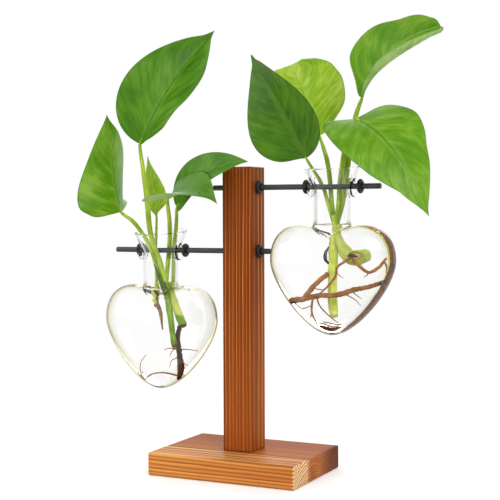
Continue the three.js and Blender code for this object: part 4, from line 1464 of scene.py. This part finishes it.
RIGHT_LEAVES = {
    "dark_left": {
        "base": (-20.9, -7.1, 24.3), "heading": 211.5, "rise": 64, "roll": -118, "length": 104,
        "width": 73.5, "droop": 18, "sweep": 14.5, "twist": -26, "fold": (8, 22), "curl": 0.02,
        "lobe": 0, "skew": -0.02, "peak": 0.33, "point": 1.15,
        "stalk": [(-0.6, 5.2, -31), (-4.6, 5, -18), (-10.9, 4.8, 1), (-18, 1.4, 14.5)],
        "stalk_radii": [1.6, 1.7, 1.7, 1.7, 1.5, 0.6], "looks": DARK_LEAF, "slot": "dark_leaf", "seed": 4,
        "edge": ((0, 0.93, 0.04, -0.3), (-1, 0, 0.03, -0.7)), "reach": 0.012,
    },
    "pale_back": {
        "base": (-23.5, 29, 45.3), "heading": 215, "rise": 72, "roll": -55, "length": 67,
        "width": 80, "droop": 10, "sweep": 4, "twist": -33, "fold": (14, 4), "curl": 0.07,
        "lobe": -0.1, "skew": 0, "peak": 0.51, "point": 0.46,
        "stalk": [(-0.4, 7.2, -31), (-3.6, 8.4, -14), (-4.6, 7.6, 3), (-8, 9, 22)],
        "stalk_radii": [2, 2.1, 2.1, 2, 1.8, 0.6], "looks": PALE_LEAF, "slot": "pale_leaf", "seed": 8,
        "edge": ((1, 0.85, 0.08, 0.07), (1, 0.45, 0.15, -0.04), (1, 0.965, 0.015, -0.3),
                 (-1, 0.9, 0.08, 0.25)), "notch": 2.6,
    },
    "high_right": {
        "base": (24, 8.6, 74.6), "heading": 17, "rise": 70, "roll": 86, "length": 97,
        "width": 71.5, "droop": 20, "sweep": -57, "twist": 33, "fold": (-7, 80), "curl": 0.04,
        "lobe": -0.22, "skew": 0.2, "peak": 0.38, "point": 0.7,
        "stalk": [(1.6, 6.4, -33), (7.4, 6.6, -14), (10, 5.6, 2), (12, 7, 20), (14.6, 10, 44),
                  (19, 9, 62)],
        "stalk_radii": [2.1, 2.1, 2.2, 2.4, 2.5, 2.4, 2, 0.7], "looks": FRESH_LEAF, "slot": "leaf",
        "seed": 9,
        "edge": ((-1, 0.68, 0.12, -0.16), (1, 0.9, 0.08, 0.3), (1, 0.1, 0.08, -0.3),
                 (-1, 0, 0.11, -0.4), (-1, 0.97, 0.03, 0.3)),
        "over": (1, 0.66, 80),
    },
    "broad_right": {
        "base": (21.8, -2, 56.3), "heading": -29, "rise": -16, "roll": 24, "length": 118,
        "width": 78, "droop": 59, "sweep": -26, "twist": 37, "fold": (-1, 16), "curl": 0.03,
        "lobe": 0.2, "skew": 0.07, "peak": 0.25, "point": 1.24,
        "stalk": [(2, 4.6, -33), (4.6, 4, -14), (5, 5.3, 0), (8.4, 1.6, 15), (13, 1, 38)],
        "stalk_radii": [2, 2.1, 2.1, 2.2, 2.2, 1.9, 0.7], "looks": FRESH_LEAF, "slot": "leaf", "seed": 1,
        "edge": ((-1, 0.58, 0.09, -0.07), (-1, 0.3, 0.08, 0.04), (-1, 0.95, 0.04, -0.15),
                 (1, 0.77, 0.04, -0.07), (1, 0.6, 0.08, 0.04)),
    },
}

# Stems: their line, radii, finish, slot, the places of their knots as shares of their length, the
# finish of their cut end, and what grows on them, as rows like those of the roots

LEFT_STEMS = {
    "green_cutting": {
        "points": [(6.4, -1.4, -30), (10.6, 0, -48), (13, 0, -63), (15.6, 0, -86)],
        "radii": [2.9, 2.8, 2.7, 2.2], "looks": STEM, "slot": "stem", "knots": (0.45, 0.93), "end": CUT_END,
        "extras": [
            (SHEATH, [0.4, 1.4, 2.1, 2.6, 2.2],
             [(-2.3, -7.6, -13), (0.4, -7.5, -19), (3.4, -6.8, -26), (5.8, -5.2, -34), (8.8, -3, -43)]),
            (OLD_STEM, [2.4, 1.5], [(15, 0, -84), (15.8, 0, -88.5)]),
        ],
    },
    "pale_cutting": {
        "points": [(9.2, 4.6, -29.5), (10.2, 4, -37), (14, 3, -47), (19.5, 2, -58), (24, 2, -68)],
        "radii": [2.1, 2.3, 3, 3.3, 3.1], "looks": PALE_STEM, "slot": "stem", "knots": (0.5,),
        "end": CUT_END, "extras": [
            (STEM, [3, 3.6, 3.35], [(18, 2.3, -55), (20.5, 1.9, -61), (23.6, 2, -67)]),
            (DARK_ROOT, [1.7, 1.6], [(20.4, 1.6, -68.4), (25.8, 2.2, -66.8)]),
        ],
    },
    "old_stub": {
        "points": [(-8, 5.6, -31), (-6.4, 4.8, -38), (-4, 3.8, -46), (-1, 2.8, -54)],
        "radii": [2.1, 2.8, 3.4, 2.6], "looks": YOUNG_STEM, "slot": "root", "knots": (0.6,),
        "end": OLD_STEM, "extras": [
            (OLD_STEM, [2.2, 1.7, 1.1, 0.6], [(-1.6, 3, -52), (1.4, 2.4, -56), (2.8, 2, -61), (4, 2, -72)]),
            (CUT_END, [0.5, 1.3, 0.9, 1.2],
             [(-5, 0.6, -37), (-2, 0, -42), (-0.4, 0.2, -48), (2, 1.2, -55)]),
        ],
    },
}

RIGHT_STEMS = {
    "main_cutting": {
        "points": [(-0.4, 5.6, -25), (1, 5.6, -32), (3.2, 3.4, -48), (2.4, 2, -70), (1.4, 2, -93),
                   (2.2, 2, -108)],
        "radii": [2.2, 3.5, 3.8, 3.9, 3.7, 3.3], "looks": YOUNG_STEM, "slot": "stem",
        "knots": (0.22, 0.56, 0.86, 0.93), "end": PALE_STEM, "extras": [
            (DARK_ROOT, [0.5, 1.5, 1.5, 0.6],
             [(0.4, 0, -54), (-2.6, -1.4, -58.5), (-2.8, -1.4, -62.5), (0, 0, -66)]),
        ],
    },
    "side_shoot": {
        "points": [(5, 3, -42), (11, 1, -53), (19, 0, -60.5), (32, 0, -58.5)],
        "radii": [3, 3.8, 5.4, 6.1, 5], "looks": PALE_STEM, "slot": "pale_leaf", "knots": (0.45, 0.8),
        "end": PALE_STEM, "extras": [
            (DARK_ROOT, [0.7, 1.5, 0.6], [(17.5, -5, -59), (21, -6.6, -58.5), (26, -6, -59.5)]),
            (ROOT, [0.55, 0.5, 0.5, 0.5, 0.4],
             [(19, -6.4, -57), (24.5, -7.2, -55.4), (30, -6, -58), (26, -7.2, -61.4), (20, -6.4, -60.4)]),
        ],
    },
}

# Roots: what they look like, their radii and the places that they run through

LEFT_ROOTS = [
    (DARK_ROOT, [1.9, 2.2, 2.3, 2.8, 1.2],
     [(20.4, 2.4, -69), (17.6, 3, -78), (18.4, 3, -92), (18.4, 3, -105), (15.4, 2, -115.5)]),
    (ROOT, [0.9, 0.75, 0.7, 0.65, 0.6, 0.5],
     [(16, 1, -112), (10, -3, -110.4), (4, -3, -110), (-4.7, -3, -111.4), (-10, -3, -114.5),
      (-12.4, -3, -117)]),
    (ROOT, [0.5, 0.4, 0.35, 0.25],
     [(-12.6, -3, -117), (-16.4, -3, -110.5), (-15.8, -3, -102), (-10.5, -3, -95)]),
    (ROOT, [0.5, 0.9, 0.6], [(-19.6, -3, -110.4), (-16.6, -3, -114), (-12.4, -3, -117.4)]),
    (ROOT, [0.25, 0.35, 0.4], [(-14, -4, -109.5), (-15.4, -4, -113.5), (-13, -3, -117)]),
    (ROOT, [0.6, 0.45, 0.3], [(18.6, 2, -88.5), (27, 3, -88.2), (34.5, 4, -89)]),
    (ROOT, [0.5, 0.4, 0.25], [(17, 1, -96), (12.2, 0, -99), (10.3, -1, -105)]),
    (ROOT, [0.5, 0.4, 0.25], [(19, 2, -98), (24, 1, -101), (26.5, 1, -103.5)]),
    (ROOT, [0.5, 0.35, 0.25], [(15, 0, -88), (9.8, -1, -88.3), (6.6, -1, -90)]),
    (ROOT, [0.5, 0.35, 0.25], [(15.4, 0, -88), (12.6, -2, -93), (11.8, -2, -96)]),
]

RIGHT_ROOTS = [
    (ROOT, [2.6, 2.4, 2, 2.1, 2.1, 1.8, 1.4],
     [(-34, -3, -96.5), (-22, -5, -95), (-8, -7, -92), (8, -8, -91), (24, -8, -86), (35, -5, -83.5),
      (46, -2, -79)]),
    (DARK_ROOT, [2.2, 2.5], [(-34.6, -3, -96.5), (-29, -4, -96.4)]),
    (DARK_ROOT, [1.6, 1.3], [(42, -3.2, -81), (47, -1.8, -78.6)]),
    (ROOT, [1.9, 2.1, 2.3], [(-1, -1.5, -74), (-9, -4.4, -81), (-20, -5, -93)]),
    (ROOT, [1.5, 1.35, 1.25, 1.25, 0.8],
     [(22, -5, -62), (28.5, -6, -67.5), (35, -5, -71.5), (42, -3, -68), (48, -1, -60.5)]),
    (ROOT, [0.7, 0.45, 0.25], [(35, -5, -71), (34, -6, -74), (31.6, -7, -75.6)]),
    (ROOT, [0.9, 0.7, 0.3], [(46, -1.6, -62.5), (48, -1, -67), (47.6, -1, -72)]),
    (ROOT, [1.1, 1.05, 1, 0.95, 0.9, 0.8, 0.6],
     [(21, -6, -59.5), (16.1, -6.5, -63), (9.1, -7, -68), (7.3, -7, -75.5), (3.2, -7, -81), (-2.7, -7, -87),
      (-7.3, -7, -91)]),
    (ROOT, [0.5, 0.35, 0.2], [(8, -7, -71.5), (11, -7, -75), (14.5, -7, -77)]),
    (ROOT, [0.3, 0.5, 0.5], [(-16, -5, -85.5), (-9, -6, -86.6), (-2.6, -7, -87.2)]),
    (ROOT, [0.6, 0.45, 0.25], [(15.5, -7, -90), (24, -7, -94.6), (28, -6, -99.5)]),
    (ROOT, [0.6, 0.4, 0.25], [(22, -7, -88), (25.5, -7, -91), (29, -6, -93.5)]),
    (ROOT, [0.5, 0.4, 0.4], [(-29.5, -3.4, -99), (-24, -5, -103), (-14, -7, -100.5)]),
    (ROOT, [1, 0.85, 0.5], [(-12.5, -7, -93.5), (-13.4, -8, -106), (-9.4, -6, -117)]),
    (ROOT, [0.6, 0.45, 0.25], [(-13.4, -8, -106), (-15, -7, -111), (-13.4, -6, -115.6)]),
    (ROOT, [0.8, 0.65, 0.55, 0.45, 0.3],
     [(-9, -7, -93.5), (-6.5, -8, -100), (0, -8.6, -107), (7, -7.4, -113), (12, -5, -117)]),
    (DARK_ROOT, [0.8, 1.3, 1.3, 0.6], [(-8, -3, -117), (-2, -4, -119.6), (4, -4, -120), (9, -3, -117.6)]),
    (ROOT, [0.7, 1.5, 0.7], [(-6, 1, -117), (1, 0, -119), (7, 0, -117)]),
    (ROOT, [0.4, 0.7, 0.7, 0.3], [(-9, -3, -114.6), (-3, -7, -115.6), (4, -6, -117.6), (9, -3, -115.4)]),
    (ROOT, [0.3, 0.5, 0.6, 0.3], [(-5, -4, -113.4), (1, -8, -114.4), (6, -6, -115.6), (11, -2, -114)]),
    (ROOT, [0.4, 0.7, 0.3], [(-7, -1, -116.4), (-1, -6, -117.8), (3, -8, -115)]),
]


def knots_relief(places, size):
    """The swollen joints of a cutting, with the thin scar under each."""
    def relief(share, angle, length):
        extra = STEM_RIB_DEPTH * math.sin(STEM_RIBS * angle + STEM_TWIST * share)
        for place in places:
            away = (share - place) * length
            scar = SCAR_DEPTH * size * math.exp(-((away - SCAR_PLACE) / SCAR_SPREAD) ** 2)
            extra += size * math.exp(-(away / KNOT_SPREAD) ** 2) - scar
        return extra
    return relief


def bark_relief(seed, size):
    """The uneven skin of a root or an old stem."""
    def relief(share, angle, length):
        p = Vector((math.cos(angle) * BARK_GIRTH + seed * BARK_SEED, math.sin(angle) * BARK_GIRTH,
                    share * length * BARK_RUN))
        return size * noise.noise(p) + BARK_FINE_SHARE * size * noise.noise(p * BARK_FINE)
    return relief


def hair_tree():
    """The fine hairs of a root: points spread over its skin from a fixed seed, a small bent hair on
    each."""
    nodes = Recipe("root_hairs", Density="Float", Length="Float", Hair_Radius="Float", Skin="Material")
    given = nodes.given
    spread = nodes.add("GeometryNodeDistributePointsOnFaces", Mesh=given["Geometry"],
                       Density=given["Density"], Seed=11)
    bow = nodes.add("GeometryNodeCurveQuadraticBezier", Resolution=4, Start=(0, 0, 0),
                    Middle=(0.0, 0.1, 0.55), End=(0.32, 0.0, 0.95))
    along = nodes.add("GeometryNodeSplineParameter").outputs["Factor"]
    thin = nodes.add("ShaderNodeMapRange", Value=along, To_Min=1.0, To_Max=0.25).outputs[0]
    line = nodes.add("GeometryNodeSetCurveRadius", Curve=bow.outputs[0], Radius=thin)
    girth = nodes.sum("DIVIDE", given["Hair Radius"], given["Length"])
    ring = nodes.add("GeometryNodeCurvePrimitiveCircle", Resolution=4, Radius=girth)
    hair = nodes.add("GeometryNodeCurveToMesh", Curve=line.outputs[0], Profile_Curve=ring.outputs[0],
                     Scale=thin, Fill_Caps=True)
    turn = nodes.add("FunctionNodeRandomValue", Seed=5)
    turn.inputs[2].default_value = 0.35
    turn.inputs[3].default_value = 1.0
    size = nodes.sum("MULTIPLY", turn.outputs[1], given["Length"])
    grown = nodes.add("GeometryNodeInstanceOnPoints", Points=spread.outputs["Points"],
                      Instance=hair.outputs[0], Rotation=spread.outputs["Rotation"], Scale=size)
    real = nodes.add("GeometryNodeRealizeInstances", Geometry=grown.outputs[0])
    painted = nodes.add("GeometryNodeSetMaterial", Geometry=real.outputs[0], Material=given["Skin"])
    return nodes.done(painted.outputs[0], given["Geometry"])


def build_stems(side, table):
    """Each cutting with the sheaths, stubs and roots that are part of it."""
    for name, stem in table.items():
        points, faces, uv = tube(stem["points"], stem["radii"], STEM_SIDES, STEM_PITCH,
                                 knots_relief(stem["knots"], KNOT_SIZE))
        parts = [(points, faces, uv, 0)]
        looks = [stem["looks"], stem["end"]]
        cut_end = slice(len(faces) - STEM_SIDES * CUT_END_ROWS, len(faces))
        for k, (look, radii, line) in enumerate(stem["extras"]):
            grown = tube(line, radii, EXTRA_SIDES, STEM_PITCH, bark_relief(k, EXTRA_BARK))
            parts.append((*grown, len(looks)))
            looks.append(look)
        points, faces, uv, slots = pile(parts)
        slots[cut_end] = [1] * STEM_SIDES * CUT_END_ROWS
        made = mesh_object(f"{side}_{name}_stem", points + VASES[side], faces, looks, uv, slots)
        stand_in(made, f"{side}_vase", stem["slot"], f"{side}_{name}")


def build_roots(side, table, tree):
    """All roots of a vase, thick and fine, with their hairs."""
    looks = [ROOT, DARK_ROOT]
    parts = []
    for k, (look, radii, line) in enumerate(table):
        thick = max(radii)
        sides = THICK_ROOT_SIDES if thick > THICK_ROOT else ROOT_SIDES
        grown = tube(line, radii, sides, ROOT_PITCH, bark_relief(k, ROOT_BARK * thick))
        parts.append((*grown, looks.index(look)))
    points, faces, uv, slots = pile(parts)
    made = mesh_object(f"{side}_root_mass", points + VASES[side], faces, looks, uv, slots)
    run_tree(made, tree, {"Density": HAIR_DENSITY, "Length": HAIR_LENGTH, "Hair Radius": HAIR_RADIUS,
                          "Skin": ROOT})
    stand_in(made, f"{side}_vase", "root", f"{side}_roots")


def build_leaves(side, table):
    """Each leaf, blade and stalk in one piece."""
    for name, leaf in table.items():
        made = leaf_object(f"{side}_{name}_blade", leaf, VASES[side])
        stand_in(made, f"{side}_vase", leaf["slot"], f"{side}_leaf_{name}")


HAIRS = hair_tree()
build_stems("left", LEFT_STEMS)
build_stems("right", RIGHT_STEMS)
build_roots("left", LEFT_ROOTS, HAIRS)
build_roots("right", RIGHT_ROOTS, HAIRS)
build_leaves("left", LEFT_LEAVES)
build_leaves("right", RIGHT_LEAVES)


# Floor, light and camera


def seen_ray(look):
    """One for rays from the camera, off gloss and through glass, nought for all others."""
    path = look.add("LightPath").outputs
    straight = look.sum("MAXIMUM", path["Is Camera Ray"], path["Is Glossy Ray"])
    return look.sum("MAXIMUM", straight, path["Is Transmission Ray"])


def studio_world():
    """A soft white surround, plain white where it is seen."""
    world = bpy.data.worlds.new("studio")
    look = Look(world)
    look.set(look.tree.nodes["Background"], Color=(1, 1, 1, 1),
             Strength=look.range(seen_ray(look), 0.0, 1.0, 0.55, 1.0, False))
    bpy.context.scene.world = world


def pale_floor():
    """A pale floor that keeps the object's shadow and runs out into plain white."""
    mesh = bpy.data.meshes.new("floor")
    corners = [(x * FLOOR_HALF, y * FLOOR_HALF, -FLOOR_DROP)
               for x, y in ((-1, -1), (1, -1), (1, 1), (-1, 1))]
    mesh.from_pydata(corners, [], [(0, 1, 2, 3)])
    floor = linked("floor", mesh)
    look = Finish("pale_floor")
    mesh.materials.append(look.done(Base_Color=(0.9, 0.9, 0.9, 1), Roughness=0.9, Specular_IOR_Level=0.0))
    seen = seen_ray(look)
    glow = look.add("Emission", {"Color": (1, 1, 1, 1), "Strength": look.times(seen, 0.22)})
    both = look.add("AddShader")
    look.tree.links.new(look.shader.outputs[0], both.inputs[0])
    look.tree.links.new(glow.outputs[0], both.inputs[1])
    white = look.add("Emission", {"Color": (1, 1, 1, 1), "Strength": 1.0})
    away = look.add("VectorMath", {"Vector": look.place()}, operation="LENGTH").outputs["Value"]
    look.between(look.times(look.range(away, 0.16, 0.42), seen), both, white)


def soft_lamp(name, place, target, width, height, power):
    """A large rectangular lamp that looks at its target."""
    lamp = bpy.data.lights.new(name, "AREA")
    lamp.shape = "RECTANGLE"
    lamp.size = width
    lamp.size_y = height
    lamp.energy = power
    holder = linked(name, lamp)
    holder.location = place
    holder.rotation_euler = (Vector(target) - Vector(place)).to_track_quat("-Z", "Y").to_euler()


def photo_camera():
    """A camera that sees the object as the photograph does."""
    lens = bpy.data.cameras.new("camera")
    lens.sensor_width = SENSOR_MM
    lens.lens = SENSOR_MM * LENS_PIXELS / PHOTO_PIXELS
    lens.clip_start = 0.01
    camera = linked("camera", lens)
    camera.location = CAMERA_PLACE
    yaw, pitch, roll = (math.radians(a) for a in (CAMERA_YAW, CAMERA_PITCH, CAMERA_ROLL))
    turn = (Matrix.Rotation(yaw, 4, "Z") @ Matrix.Rotation(math.pi / 2 - pitch, 4, "X")
            @ Matrix.Rotation(roll, 4, "Z"))
    camera.rotation_euler = turn.to_euler()
    bpy.context.scene.camera = camera


studio_world()
pale_floor()
soft_lamp("key", (0.9, -0.9, 1.1), (0, 0, 0.16), 0.9, 0.9, 11)
soft_lamp("fill", (-0.9, -0.7, 0.6), (0, 0, 0.18), 1.0, 1.0, 5)
soft_lamp("back", (-0.2, 1.2, 0.9), (0, 0, 0.2), 1.2, 0.8, 7)
photo_camera()
bpy.context.scene.view_settings.view_transform = "Standard"
